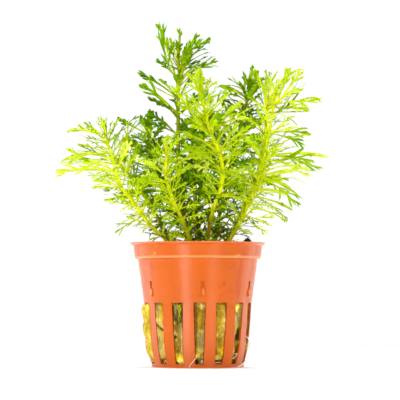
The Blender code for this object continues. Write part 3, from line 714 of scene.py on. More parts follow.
@dataclass(frozen=True)
class Shell:
    """A wall between two skins of rows and columns, in which some cells are left open."""

    rows: tuple[tuple[float, float, float, float], ...]  # outer radius and height, inner radius and height
    openings: int  # the same number of times round
    turn: float  # degrees that the first opening lies to the right
    half_widths: tuple[float, ...]  # of the opening's edges, at each row
    open_rows: tuple[int, int]  # first and last row of the openings
    cells: tuple[int, int]  # across an opening, and across the wall between two

    def columns(self, radius: float, half_width: float) -> list[float]:
        """Return where the columns lie.

        Args:
            radius: of the row.
            half_width: of the openings.

        Returns:
            The angle of each column in degrees.
        """
        edge = math.degrees(math.asin(min(0.99, half_width / radius)))
        pitch = 360.0 / self.openings
        inside, beside = self.cells
        angles = []
        for number in range(self.openings):
            middle = self.turn + number * pitch
            angles += [middle + mix(-edge, edge, step / inside) for step in range(inside)]
            angles += [middle + mix(edge, pitch - edge, step / beside) for step in range(beside)]
        return angles

    def is_wall(self, row: int, column: int) -> bool:
        """Return whether a cell is there and isn't open."""
        is_open = self.open_rows[0] <= row < self.open_rows[1] and column % sum(self.cells) < self.cells[0]
        return 0 <= row < len(self.rows) - 1 and not is_open

    def add_to(self, bm: bmesh.types.BMesh) -> None:
        """Build the shell, closed all round.

        Args:
            bm: the mesh that it is added to.
        """
        outer, inner = [], []
        for row, half_width in zip(self.rows, self.half_widths):
            for skin, (radius, height) in ((outer, row[:2]), (inner, row[2:])):
                skin.append([bm.verts.new(around(angle, radius, height)) for angle in self.columns(radius, half_width)])
        count = len(outer[0])
        for row in range(len(self.rows) - 1):
            for column in range(count):
                if not self.is_wall(row, column):
                    continue
                after = (column + 1) % count
                for skin, way in ((outer, 1), (inner, -1)):
                    corners = (skin[row][column], skin[row][after], skin[row + 1][after], skin[row + 1][column])
                    bm.faces.new(corners[::way])
                edges = (
                    ((row, column), (row, after), (row - 1, column)),
                    ((row, after), (row + 1, after), (row, after)),
                    ((row + 1, after), (row + 1, column), (row + 1, column)),
                    ((row + 1, column), (row, column), (row, (column - 1) % count)),
                )
                for (a, b), (c, d), beside in edges:
                    if not self.is_wall(*beside):
                        bm.faces.new((outer[a][b], inner[a][b], inner[c][d], outer[c][d]))


@dataclass
class NetPot:
    """The slotted pot: lip, collar, tapered wall with slots, latch tabs and a floor with drains."""

    wall: float = 0.9 * MM
    slots: int = 15
    slot_turn: float = 2.0
    slot_foot: float = 1.5 * MM
    slot_head: float = 26.0 * MM
    slot_widths: tuple[float, float] = (3.4 * MM, 4.9 * MM)
    tabs: int = 6
    tab_turn: float = 5.0
    tab_width: float = 1.5 * MM
    tab_height: float = 3.1 * MM
    tab_relief: float = 0.45 * MM
    tab_middle: float = 31.6 * MM
    tab_radius: float = 22.65 * MM
    tab_taken: tuple[float, float] = (0.12 * MM, 0.06 * MM)  # from the depth of a recess and of a ridge
    drains: int = 6
    drain_width: float = 3.2 * MM
    floor_rows: tuple[float, ...] = (1.0, 3.5, 6.0, 8.0, 10.5, 13.0, 15.0, 16.6, 18.3)  # radii in millimetres
    drain_rows: tuple[int, int] = (2, 6)  # where the drains begin and end
    edge: float = 0.14 * MM
    edge_angle: float = 28.0  # degrees from which an edge is rounded
    # Outer skin from the lip down, as radius and height in millimetres.
    profile: tuple[tuple[float, float], ...] = (
        (27.5, 50.38), (27.5, 49.9), (26.15, 49.1), (25.95, 47.0), (25.64, 44.6), (25.58, 44.2),
        (25.35, 43.85), (24.2, 43.6), (23.9, 40.6), (23.32, 36.4), (22.74, 32.2), (22.16, 28.0),
        (21.9, 26.0), (21.8, 24.6), (21.62, 21.8), (21.42, 18.8), (21.2, 15.8), (20.98, 13.0),
        (20.72, 10.4), (20.44, 8.2), (20.1, 6.2), (19.72, 4.4), (19.35, 2.9), (19.0, 1.5),
        (18.82, 0.8), (18.7, 0.02),
    )
    # Inner skin beside each of those rows.
    lining: tuple[tuple[float, float], ...] = (
        (25.2, 50.38), (25.1, 49.9), (25.0, 49.1), (24.95, 47.0), (24.75, 45.4), (24.7, 45.1),
        (24.2, 44.6), (23.4, 43.6), (23.0, 40.6), (22.42, 36.4), (21.84, 32.2), (21.26, 28.0),
        (21.0, 26.0), (20.9, 24.6), (20.72, 21.8), (20.52, 18.8), (20.3, 15.8), (20.08, 13.0),
        (19.82, 10.4), (19.54, 8.2), (19.2, 6.2), (18.82, 4.4), (18.45, 2.9), (18.1, 1.5),
        (17.95, 0.8), (17.8, 0.02),
    )

    def slot_half_width(self, height: float) -> float:
        """Return half the width of a slot at a height, held beyond its ends."""
        share = (height - self.slot_foot) / (self.slot_head - self.slot_foot)
        return mix(*self.slot_widths, min(1.0, max(0.0, share))) / 2

    def slot_middle(self, number: int) -> float:
        """Return the angle of a slot's middle in degrees."""
        return self.slot_turn + number * 360.0 / self.slots

    def inside(self, height: float) -> float:
        """Work out how wide the pot is inside.

        Args:
            height: where.

        Returns:
            The inner radius of the wall.
        """
        rows = [(radius * MM, level * MM) for radius, level in reversed(self.lining)]
        for (low_radius, low), (high_radius, high) in zip(rows, rows[1:]):
            if height <= high:
                return mix(low_radius, high_radius, max(0.0, (height - low) / (high - low)))
        return rows[-1][0]

    def wall_shell(self) -> Shell:
        """Lay out the wall, from the lip down to the foot.

        Returns:
            The wall.
        """
        rows = tuple(
            (out * MM, level * MM, inward * MM, inner_level * MM)
            for (out, level), (inward, inner_level) in zip(self.profile, self.lining)
        )
        heights = [row[1] for row in rows]
        ends = (self.slot_head, self.slot_foot)
        first, last = (min(range(len(rows)), key=lambda row: abs(heights[row] - end)) for end in ends)
        widths = tuple(self.slot_half_width(height) for height in heights)
        return Shell(rows, self.slots, self.slot_turn, widths, (first, last), (4, 5))

    def floor_shell(self) -> Shell:
        """Lay out the floor round its closed middle, which ends in the wall.

        Returns:
            The floor.
        """
        radii = [radius * MM for radius in self.floor_rows]
        rows = tuple((radius, self.wall, radius, 0.02 * MM) for radius in radii)
        widths = tuple(min(self.drain_width / 2, radius * math.sin(math.radians(15))) for radius in radii)
        return Shell(rows, self.drains, self.slot_turn, widths, self.drain_rows, (4, 4))

    def blocks(self, radii: tuple[float, float], low: float) -> bpy.types.Object:
        """Make the blocks that cut or add half of each tab.

        Args:
            radii: their inner and outer radius.
            low: height of their feet.

        Returns:
            The blocks.
        """
        bm = bmesh.new()
        for number in range(self.tabs):
            made = bmesh.ops.create_cube(bm, size=1.0)["verts"]
            for corner in made:
                side, depth, rise = corner.co
                radius = mix(*radii, 0.5 - depth)
                corner.co = (side * self.tab_width, -radius, low + (rise + 0.5) * self.tab_height)
            turn = math.radians(self.tab_turn + number * 360.0 / self.tabs)
            bmesh.ops.transform(bm, matrix=Matrix.Rotation(turn, 4, "Z"), verts=made)
        return in_scene("tab_blocks", finished("tab_blocks", bm))

    def tabbed_wall(self) -> bpy.types.Mesh:
        """Make the wall with its tabs, each a recess over a ridge.

        Returns:
            The wall.
        """
        bm = bmesh.new()
        self.wall_shell().add_to(bm)
        bmesh.ops.recalc_face_normals(bm, faces=bm.faces)
        rough = in_scene("pot_wall", finished("pot_wall", bm))
        face, relief, (recessed, lowered) = self.tab_radius, self.tab_relief, self.tab_taken
        recesses = self.blocks((face - relief + recessed, face + self.wall), self.tab_middle)
        ridges = self.blocks((face - self.wall * 0.6, face + relief - lowered), self.tab_middle - self.tab_height)
        for tool, operation in ((recesses, "DIFFERENCE"), (ridges, "UNION")):
            modifier = rough.modifiers.new(operation, "BOOLEAN")
            modifier.operation = operation
            modifier.object = tool
        wall = bpy.data.meshes.new_from_object(rough.evaluated_get(bpy.context.evaluated_depsgraph_get()))
        for thing in (rough, recesses, ridges):
            bpy.data.objects.remove(thing, do_unlink=True)
        return wall

    def build(self, finish: PlasticFinish) -> bpy.types.Object:
        """Build the pot and dress it.

        Args:
            finish: its plastic.

        Returns:
            The piece.
        """
        wall = self.tabbed_wall()
        bm = bmesh.new()
        self.floor_shell().add_to(bm)
        bmesh.ops.holes_fill(bm, edges=[edge for edge in bm.edges if self.is_rim(edge)])
        bmesh.ops.recalc_face_normals(bm, faces=bm.faces)
        bm.from_mesh(wall)
        mesh = finished("net_pot", bm)
        mesh.materials.clear()
        mesh.materials.append(finish.material())
        mesh.shade_smooth()
        pot = in_scene("net_pot", mesh)
        bevel = pot.modifiers.new("Edges", "BEVEL")
        bevel.width, bevel.segments = self.edge, 2
        bevel.limit_method, bevel.angle_limit = "ANGLE", math.radians(self.edge_angle)
        bevel.harden_normals = True
        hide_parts("pot")
        return pot

    def is_rim(self, edge: bmesh.types.BMEdge) -> bool:
        """Return whether an edge lies round the floor's middle."""
        return all(math.hypot(corner.co.x, corner.co.y) < 2.0 * MM for corner in edge.verts)


# ---- Wool


class Wool(Enum):
    """The colours of the wool, linear."""

    OLIVE = (0.270, 0.185, 0.008)
    STRAW = (0.640, 0.530, 0.110)
    YELLOW = (0.680, 0.440, 0.006)
    LEMON = (0.870, 0.760, 0.110)
    GREY = (0.300, 0.250, 0.075)
    BROWN = (0.150, 0.070, 0.003)
    # Near-black laid in the wool's dents: painted shade in its hollows.
    GOLD = (0.560, 0.450, 0.012)
    BLACK = (0.034, 0.017, 0.003)
    # Dark red laid in the deepest dent: painted shade in that hollow.
    RED = (0.050, 0.004, 0.002)
    GREEN = (0.110, 0.120, 0.006)
    BRIGHT_GREEN = (0.500, 0.680, 0.002)
    MOSS = (0.020, 0.050, 0.006)
    MOSS_CORE = (0.012, 0.028, 0.004)

    def towards(self, other: "Wool", share: float) -> Vector:
        """Return the colour at a share of the way to another."""
        return Vector(self.value).lerp(Vector(other.value), share)


OLIVE, STRAW, YELLOW, LEMON, GREY, BROWN, GOLD, BLACK, RED, GREEN, BRIGHT_GREEN, MOSS, MOSS_CORE = Wool


@dataclass(frozen=True)
class Patch:
    """A stretch of the wool, seen through one slot, in millimetres, with its own colour; the near-black ones are
    painted shade in dents.

    The slot is counted from the front one to the right, across is measured from its middle.
    """

    slot: int
    across: float
    height: float
    half_width: float
    half_height: float
    colour: Wool
    strength: float = 0.9
    lean: float = 0.0  # how far it moves right for each unit up
    dent: float = 0.0  # how deep it lies
    slant: float = 0.0  # how far it moves up for each unit right


# For each slot its patches, each with the fields of Patch from the second on.
# Near-black patches sit in dents, as painted shade in the wool's hollows.
PATCHES: dict[int, tuple[tuple[float | Wool, ...], ...]] = {
    -2: (
        (0.0, 14.0, 3.0, 11.0, STRAW, 0.6), (-1.2, 24.0, 1.1, 3.0, GREY, 0.8), (1.2, 22.5, 1.0, 4.0, YELLOW, 0.55),
        (0.0, 18.2, 3.0, 1.3, STRAW, 0.8, 0.0, -0.2, -0.62), (0.0, 15.9, 4.0, 0.55, BLACK, 0.95, 0.0, 0.7, -0.62),
        (1.3, 13.6, 0.9, 0.8, YELLOW, 0.9), (0.0, 8.6, 2.6, 4.4, STRAW, 0.45), (-0.9, 9.6, 0.9, 3.4, GREY, 0.6),
        (0.3, 2.4, 2.8, 1.5, BROWN, 0.95, 0.0, 0.9),
    ),
    -1: (
        (0.0, 22.2, 2.8, 4.6, BLACK, 0.86, 0.0, 0.5), (-1.2, 23.2, 0.5, 2.0, GREY, 0.8),
        (-0.3, 24.4, 0.3, 1.4, STRAW, 0.6), (-0.8, 16.0, 1.3, 2.0, BROWN, 0.6), (0.9, 14.6, 1.0, 3.6, GREY, 0.7),
        (-1.3, 12.3, 0.6, 0.75, BLACK, 1.0, 0.0, 0.8), (-0.9, 11.1, 0.5, 0.5, STRAW, 0.9),
        (0.0, 8.6, 1.9, 2.6, BROWN, 0.55), (1.35, 10.5, 0.28, 6.5, STRAW, 0.8),
        (0.0, 4.8, 2.3, 1.1, YELLOW, 0.95, 0.0, -0.1), (0.3, 2.6, 1.6, 1.7, LEMON, 0.95, 0.0, -0.1),
        (-1.6, 2.0, 0.6, 0.9, BLACK, 0.95, 0.0, 0.9),
    ),
    0: (
        (-1.6, 18.0, 0.9, 11.0, BROWN, 0.9, 0.0, 0.3), (-0.5, 23.5, 1.0, 2.6, BROWN, 0.7, 0.0, 0.2),
        (0.0, 18.6, 0.7, 4.4, YELLOW, 0.38), (1.6, 21.0, 0.7, 6.0, BROWN, 0.5), (0.9, 10.6, 1.5, 4.6, GREY, 0.8),
        (-0.8, 4.9, 0.7, 1.2, YELLOW, 0.9, 0.0, -0.1), (-1.1, 2.3, 1.0, 1.3, BLACK, 1.0, 0.0, 1.0),
        (1.3, 2.3, 0.9, 1.3, BROWN, 1.0, 0.0, 0.8),
    ),
    1: (
        (0.0, 15.0, 2.4, 10.0, YELLOW, 0.4), (-1.0, 21.0, 0.8, 5.0, BROWN, 0.35), (1.2, 17.0, 0.9, 8.0, STRAW, 0.5),
        (-0.3, 10.5, 1.4, 3.0, OLIVE, 0.7), (1.0, 7.2, 0.7, 3.4, YELLOW, 0.9, 0.08, -0.1),
        (-0.2, 4.2, 1.3, 1.1, LEMON, 0.6), (0.0, 2.1, 2.6, 1.2, BROWN, 1.0, 0.0, 1.0),
    ),
    2: (
        (-0.9, 24.2, 1.5, 2.6, LEMON, 1.0, -0.25, -0.2), (0.5, 20.4, 1.4, 4.4, GREY, 0.9, 0.0, 0.2),
        (0.8, 13.2, 1.5, 2.9, BLACK, 0.95, 0.0, 1.4), (0.8, 7.2, 1.4, 3.4, BROWN, 0.9, 0.0, 0.7),
        (-1.75, 12.0, 0.5, 10.0, STRAW, 0.8), (0.2, 2.4, 2.4, 1.2, BROWN, 0.9, 0.0, 0.8),
    ),
    3: (
        (0.0, 20.6, 2.8, 6.0, BROWN, 0.85, 0.0, 0.5), (0.0, 13.2, 2.8, 2.8, RED, 0.98, 0.0, 1.4),
        (0.0, 5.0, 2.2, 3.0, OLIVE, 0.6, 0.0, 0.4),
    ),
    6: ((0.4, 12.0, 1.4, 4.0, LEMON, 0.7),),
    7: ((-0.6, 20.0, 1.5, 3.0, BLACK, 0.8, 0.0, 0.6), (0.2, 7.0, 1.8, 3.0, YELLOW, 0.7),),
    -6: ((0.2, 17.0, 1.6, 4.4, BROWN, 0.7, 0.0, 0.7), (-0.4, 6.0, 1.4, 2.0, LEMON, 0.8),),
    5: ((0.2, 3.4, 2.2, 1.6, BLACK, 0.9, 0.0, 0.8),),
    -5: ((0.0, 20.0, 1.7, 3.2, YELLOW, 0.6),),
}


@dataclass
class MineralWool:
    """The plug of mineral wool with what grows on it: its bulges, its fibres and its moss."""

    pot: NetPot
    top: float = 42.0 * MM
    crown: float = 43.2 * MM
    rounding: float = 2.0 * MM
    foot: float = 1.3 * MM
    row: float = 0.5 * MM
    clearance: float = 0.55 * MM
    swell: float = 1.15 * MM  # how far it swells into the slots
    slot_columns: int = 18
    rib_columns: int = 4
    fibres_a_slot: int = 150
    fibres_on_top: int = 900
    # Of the fibres in the slots, in millimetres: the heights that they keep between, those that they start at,
    # and their lengths, lifts and half widths.
    fibre_heights: tuple[float, float] = (2.0, 25.3)
    fibre_starts: tuple[float, float] = (2.2, 25.2)
    fibre_lengths: tuple[float, float] = (1.2, 4.6)
    fibre_lifts: tuple[float, float] = (0.02, 0.22)
    fibre_half_widths: tuple[float, float] = (0.03, 0.075)
    fibre_margin: float = 0.3
    top_reach: float = 21.0 * MM  # radius that the fibres on top keep within
    tufts: int = 420  # of the moss
    bulge_slots: tuple[int, ...] = (-3, -4)
    bulges: tuple[Spot, ...] = ((7.6, 4.2, 0.75), (15.1, 4.0, 1.1), (22.1, 3.8, 1.15))
    moss_place: tuple[float, float, float] = (20.3, 2.5, 48.0)
    seed: int = 5
    patches: tuple[Patch, ...] = tuple(Patch(slot, *row) for slot, rows in PATCHES.items() for row in rows)
    stock: MeshStock = field(default_factory=MeshStock)

    def slot_place(self, angle: float, height: float) -> tuple[int, float]:
        """Find the nearest slot.

        Args:
            angle: degrees to the right of the front.
            height: where on the wool.

        Returns:
            The slot, and how far right of its middle the place is, in millimetres.
        """
        pitch = 360.0 / self.pot.slots
        number = round((angle - self.pot.slot_turn) / pitch)
        off = math.radians(angle - self.pot.slot_turn - number * pitch)
        half = self.pot.slots // 2
        number = (number + half) % self.pot.slots - half
        return number, off * self.pot.inside(height) / MM

    def look(self, angle: float, height: float) -> tuple[Colour, float]:
        """Work out how the wool's side looks.

        Args:
            angle: degrees to the right of the front.
            height: where on the wool.

        Returns:
            The colour, and how deep it is dented.
        """
        slot, across = self.slot_place(angle, height)
        level = height / MM
        spot = around(angle, 1.0, level * 0.05)
        drift = noise.fractal(spot * 5.0, 0.8, 2.0, 3)
        colour = OLIVE.towards(STRAW, smooth_step(-0.25, 0.75, drift))
        colour = colour.lerp(Vector(BROWN.value), 0.6 * smooth_step(0.0, 0.6, noise.noise(spot * 9.0 + UP)))
        dent = 0.0
        for patch in self.patches:
            if patch.slot != slot:
                continue
            up = (level - patch.height - patch.slant * (across - patch.across)) / patch.half_height
            right = (across - patch.across - patch.lean * (level - patch.height)) / patch.half_width
            ragged = 0.35 * noise.noise(Vector((across * 1.3, level * 0.9, patch.height)))
            share = patch.strength * smooth_step(1.25, 0.55, up * up + right * right + ragged)
            colour = colour.lerp(Vector(patch.colour.value), share)
            dent += patch.dent * share * MM
        if slot in self.bulge_slots:
            pale = smooth_step(-0.3, 0.5, noise.noise(Vector((across * 0.5, level * 0.35, slot))))
            colour = colour.lerp(GOLD.towards(LEMON, pale), 0.85 * smooth_step(2.5, 6.0, level))
        grain = noise.fractal(around(angle, 21.0, level * 0.7) * 1.1, 0.6, 2.0, 4)
        colour = colour * (1.0 + 0.35 * max(-1.0, min(1.0, grain)))
        return tuple(colour), dent

    def bulge(self, height: float) -> float:
        """Work out how far the wool squeezes out of the two bulging slots.

        Args:
            height: where on the wool.

        Returns:
            How far.
        """
        level = height / MM
        reach = 0.15
        for middle, half, most in self.bulges:
            off = (level - middle) / half
            reach = max(reach, most * math.sqrt(max(0.0, 1.0 - off * off)))
        return reach * MM

    def side_radius(self, angle: float, height: float) -> float:
        """Work out where the wool's side lies, lumpy and dented in the slots.

        Args:
            angle: degrees to the right of the front.
            height: where on the wool.

        Returns:
            The radius.
        """
        slot, across = self.slot_place(angle, height)
        pot = self.pot
        share = abs(across * MM) / pot.slot_half_width(height)
        window = smooth_step(1.0, 0.86, share)
        window *= smooth_step(pot.slot_foot, pot.slot_foot + 0.8 * MM, height)
        window *= smooth_step(pot.slot_head, pot.slot_head - 0.8 * MM, height)
        spot = around(angle, 2.0, height / MM * 0.09)
        lumps = noise.fractal(spot * 3.0, 0.7, 2.0, 4)
        fine = noise.fractal(spot * 14.0, 0.8, 2.0, 3)
        _, dent = self.look(angle, height)
        swell = self.swell + (0.26 * min(0.9, lumps) + 0.14 * min(0.9, fine)) * MM
        if slot in self.bulge_slots:
            swell += self.bulge(height) * math.sqrt(max(0.0, 1.0 - share**3)) + 0.2 * MM
        return pot.inside(height) - self.clearance + window * (swell - dent) + min(0.0, lumps) * 0.3 * MM

    def column_angles(self, height: float) -> list[float]:
        """Lay out the skin's columns, denser at the slots' edges.

        Args:
            height: of the row.

        Returns:
            The angle of each column in degrees.
        """
        pitch = 360.0 / self.pot.slots
        edge = math.degrees(math.asin(min(0.99, self.pot.slot_half_width(height) * 0.99 / self.pot.inside(height))))
        angles = []
        for number in range(self.pot.slots):
            middle = self.pot.slot_middle(number)
            shares = (mix(-1, 1, step / self.slot_columns) for step in range(self.slot_columns))
            angles += [middle + edge * math.sin(math.pi / 2 * share) for share in shares]
            angles += [middle + mix(edge, pitch - edge, step / self.rib_columns) for step in range(self.rib_columns)]
        return angles

    def build_plug(self) -> None:
        """Add the plug's skin, from the middle of its top down to the middle of its foot."""
        places, paints = [], []
        rim = self.pot.inside(self.top) - self.clearance
        flat = [(mix(0.6 * MM, rim - self.rounding, step / 24), 0.0) for step in range(25)]
        turned = [(rim - self.rounding * (1 - math.sin(t)), self.rounding * (1 - math.cos(t))) for t in (0.5, 1.0, 1.3)]
        for radius, lowered in flat + turned:
            for angle in self.column_angles(self.top):
                spot = around(angle, radius, 0.0)
                grain = noise.fractal(spot * 420.0, 0.8, 2.0, 4)
                level = mix(self.crown, self.top, (radius / rim) ** 2) + grain * 0.5 * MM - lowered
                places.append(around(angle, radius, min(level, self.crown + 0.6 * MM)))
                colour = OLIVE.towards(BROWN, smooth_step(-0.2, 0.5, grain))
                green = smooth_step(0.0, 0.5, noise.noise(spot * 160.0))
                paints.append(tuple(colour.lerp(Vector(GREEN.value), green)))
        level = self.top - self.rounding
        while level > self.foot:
            for angle in self.column_angles(level):
                places.append(around(angle, self.side_radius(angle, level), level))
                paints.append(self.look(angle, level)[0])
            level -= self.row
        columns = len(self.column_angles(self.top))
        for share in (0.98, 0.6, 0.1):
            for angle in self.column_angles(self.foot):
                places.append(around(angle, share * (self.pot.inside(self.foot) - self.clearance), self.foot))
                paints.append(BROWN.value)
        faces = closed_skin(len(places) // columns, columns, downward=True)
        self.stock.add(np.array([tuple(place) for place in places]), faces, np.array(paints))

    def fibre(self, path: Sequence[Vector], half_width: float, colour: Colour) -> None:
        """Add a fibre, pointed at its end.

        Args:
            path: the points that it follows.
            half_width: half its width at its root.
            colour: its colour.
        """
        points = np.array([[tuple(point) for point in path]])
        out = points * (1.0, 1.0, 0.0)
        taper = np.linspace(1.0, 0.2, len(path))[None] * half_width
        paint = np.broadcast_to(np.array(colour), points.shape)
        self.stock.strips(points, out + (0.0, 0.0, 1e-5), taper, taper, paint)

    def build_fibres(self, dice: random.Random) -> None:
        """Add the fibres in the slots and on the plug's top.

        Args:
            dice: what chance is drawn from.
        """
        for number in range(self.pot.slots):
            for _ in range(self.fibres_a_slot):
                self.slot_fibre(self.pot.slot_middle(number), dice)
        for _ in range(self.fibres_on_top):
            self.top_fibre(dice)

    def slot_angle(self, middle: float, across: float, height: float) -> float:
        """Return the angle at a distance right of a slot's middle and a height, both in millimetres."""
        return middle + math.degrees(across * MM / self.pot.inside(height * MM))

    def slot_fibre(self, middle: float, dice: random.Random) -> None:
        """Add a fibre that lies on the wool in a slot.

        Args:
            middle: angle of the slot in degrees.
            dice: what chance is drawn from.
        """
        height = dice.uniform(*self.fibre_starts)
        limit = self.pot.slot_half_width(height * MM) / MM - self.fibre_margin
        across = dice.uniform(-limit, limit)
        heading = dice.gauss(math.radians(72 if dice.random() < 0.7 else 20), 0.5) * dice.choice((-1, 1))
        length = dice.uniform(*self.fibre_lengths)
        bend = dice.uniform(-1.2, 1.2)
        lift = dice.uniform(*self.fibre_lifts)
        path = []
        for step in range(6):
            share = step / 5
            turn = heading + bend * share
            across += math.cos(turn) * length / 5
            lowest, highest = self.fibre_heights
            height = min(highest, max(lowest, height + math.sin(turn) * length / 5))
            limit = self.pot.slot_half_width(height * MM) / MM - self.fibre_margin
            across = min(limit, max(-limit, across))
            angle = self.slot_angle(middle, across, height)
            radius = self.side_radius(angle, height * MM) + lift * math.sin(share * math.pi) * MM
            path.append(around(angle, radius + 0.02 * MM, height * MM))
        colour, _ = self.look(angle, height * MM)
        shine = dice.choice((0.55, 0.8, 1.15, 1.4, 1.7))
        colour = tuple(min(0.9, part * shine) for part in colour)
        self.fibre(path, dice.uniform(*self.fibre_half_widths) * MM, colour)

    def top_fibre(self, dice: random.Random) -> None:
        """Add a fibre that lies on the plug's top.

        Args:
            dice: what chance is drawn from.
        """
        radius = math.sqrt(dice.random()) * 20.5 * MM
        start = around(dice.uniform(0, 360), radius, self.top + 0.9 * MM)
        heading = Vector((dice.gauss(0, 1), dice.gauss(0, 1), dice.uniform(-0.1, 0.5))).normalized()
        length = dice.uniform(1.5, 4.5) * MM
        path = []
        for step in range(5):
            spot = start + heading * length * step / 4
            radius = math.hypot(spot.x, spot.y)
            flat = min(1.0, self.top_reach / max(1e-6, radius))
            level = mix(self.crown, self.top, min(1.0, (radius / self.top_reach) ** 2))
            path.append(Vector((spot.x * flat, spot.y * flat, level + 0.25 * MM + step * 0.12 * MM)))
        colour = dice.choice([OLIVE, BROWN, GREEN, STRAW, GREEN])
        self.fibre(path, dice.uniform(0.04, 0.10) * MM, colour.value)

    def build_green_strand(self) -> None:
        """Add the bright green strand of algae behind the slot left of the front."""
        middle = self.pot.slot_middle(-1)
        for shift, low, high in ((0.35, 17.8, 25.0), (1.05, 20.5, 25.3), (0.7, 18.6, 24.6)):
            path = []
            for step in range(9):
                height = mix(high, low, step / 8)
                across = shift + 0.28 * math.sin(step * 1.3 + shift * 9)
                angle = self.slot_angle(middle, across, height)
                radius = self.side_radius(angle, height * MM) + 0.12 * MM
                path.append(around(angle, radius, height * MM))
            self.fibre(path, 0.20 * MM, BRIGHT_GREEN.value)

    def build_moss(self, dice: random.Random) -> None:
        """Add the dark cushion of moss that leans on the inside of the rim.

        Args:
            dice: what chance is drawn from.
        """
        centre = Vector(self.moss_place) * MM
        ball = bmesh.new()
        bmesh.ops.create_icosphere(ball, subdivisions=4, radius=1.0)
        ball.verts.index_update()
        for vertex in ball.verts:
            rough = 0.94 + 0.10 * noise.fractal(vertex.co * 2.6, 0.8, 2.0, 4)
            vertex.co = centre + Vector((vertex.co.x * 2.1, vertex.co.y * 2.0, vertex.co.z * 4.3)) * rough * MM
        places = np.array([tuple(vertex.co) for vertex in ball.verts])
        faces = np.array([[corner.index for corner in face.verts] for face in ball.faces])
        self.stock.add(places, [faces], np.array(MOSS_CORE.value))
        ball.free()
        for _ in range(self.tufts):
            unit = Vector((dice.gauss(0, 1), dice.gauss(0, 1), abs(dice.gauss(0, 1)) - 0.2)).normalized()
            start = centre + Vector((unit.x * 1.9, unit.y * 1.8, unit.z * 4.1)) * MM
            heading = (unit + Vector((dice.gauss(0, 0.4), dice.gauss(0, 0.4), 0.3))).normalized()
            length = dice.uniform(0.35, 0.8) * MM
            path = [start + heading * length * step / 3 + UP * 0.05 * MM * step * step / 3 for step in range(4)]
            top = self.moss_place[2] + 4.95
            path = [Vector((point.x, point.y, min(point.z, top * MM))) for point in path]
            shade = dice.uniform(0.5, 1.8)
            self.fibre(path, dice.uniform(0.10, 0.18) * MM, tuple(part * shade for part in MOSS.value))

    def build(self, finish: WoolFinish) -> bpy.types.Object:
        """Build the wool and dress it.

        Args:
            finish: its look.

        Returns:
            The piece.
        """
        dice = random.Random(self.seed)
        self.build_plug()
        self.build_fibres(dice)
        self.build_green_strand()
        self.build_moss(dice)
        wool = self.stock.to_object("wool_plug", finish.material())
        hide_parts("mineral_wool")
        return wool


# ---- Roots


@dataclass
class Roots:
    """The white root that hangs to the ground, and the thin ones that show in the lower ends of the slots.

    Points are angle in degrees, radius and height in millimetres.
    """

    route: tuple[Spot, ...] = (
        (73.5, 20.4, 12.5), (74.0, 21.7, 10.6), (79.0, 21.2, 7.4), (74.0, 21.0, 3.9), (60.0, 20.5, 1.2),
        (52.0, 20.3, 0.4),
    )
    radius: float = 0.26 * MM
    thinner: float = 0.55  # thickness of the thin ones, against the white one's
    end: float = 0.55  # thickness at the end, against the start
    thin: tuple[tuple[Spot, ...], ...] = (
        ((49.0, 18.9, 5.4), (54.0, 19.5, 5.6), (50.0, 19.6, 4.4), (44.5, 19.3, 3.4)),
        ((-5.0, 18.9, 5.2), (-1.0, 19.7, 4.8), (-5.5, 19.9, 2.6), (-9.0, 19.45, 1.2), (-9.6, 19.1, 0.4)),
        ((4.0, 18.4, 2.0), (5.2, 18.7, 3.2), (6.0, 18.9, 1.9)),
        ((22.0, 18.0, 2.0), (26.0, 18.6, 2.3), (30.5, 18.5, 2.0)),
        ((-24.0, 19.6, 13.0), (-22.0, 20.2, 12.0), (-24.5, 20.2, 10.6), (-22.0, 19.9, 9.6)),
        ((-47.0, 18.2, 2.0), (-44.0, 18.6, 3.0), (-42.0, 18.5, 1.8)),
        ((141.0, 18.8, 6.0), (146.0, 19.6, 5.4), (150.0, 19.4, 3.0)),
    )

    def build(self, finish: RootFinish) -> bpy.types.Object:
        """Build the roots and dress them.

        Args:
            finish: their skin.

        Returns:
            The piece.
        """
        stock = MeshStock()
        for route, thickness in [(self.route, 1.0), *((route, self.thinner) for route in self.thin)]:
            line = smooth_line([around(angle, radius * MM, height * MM) for angle, radius, height in route], 8)
            taper = [mix(1.0, self.end, step / len(line)) for step in range(len(line))]
            stock.tube(line, [self.radius * thickness * share for share in taper], 8, np.zeros(3))
        roots = stock.to_object("white_roots", finish.material())
        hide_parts("root")
        return roots


# ---- Shoots


@dataclass(frozen=True)
class Division:
    """How the blade of a leaf is divided."""

    lobes: float  # how many each side has
    first: float  # share of the leaf at which they begin
    reach: float  # length of the longest, as a share of the leaf
    half_width: float  # of a lobe, in millimetres
    teeth: float  # how often a lobe has a tooth, 0 to 1
    angles: tuple[float, float]  # of the first and of the last lobe from the leaf's direction, in degrees
    wing: float  # how wide the midrib is between the lobes, against a lobe


class Cut(Division, Enum):
    """The kinds of leaf, from the most divided to the least."""

    COMB = (4.2, 0.32, 0.22, 0.35, 0.20, (50.0, 36.0), 1.20)
    FEATHER = (3.1, 0.33, 0.24, 0.42, 0.35, (46.0, 32.0), 1.30)
    ANTLER = (2.4, 0.36, 0.24, 0.50, 0.45, (44.0, 30.0), 1.35)
    FORK = (1.7, 0.42, 0.34, 0.48, 0.15, (28.0, 16.0), 1.10)
    STRAP = (1.0, 0.56, 0.13, 0.58, 0.0, (30.0, 20.0), 1.35)


COMB, FEATHER, ANTLER, FORK, STRAP = Cut


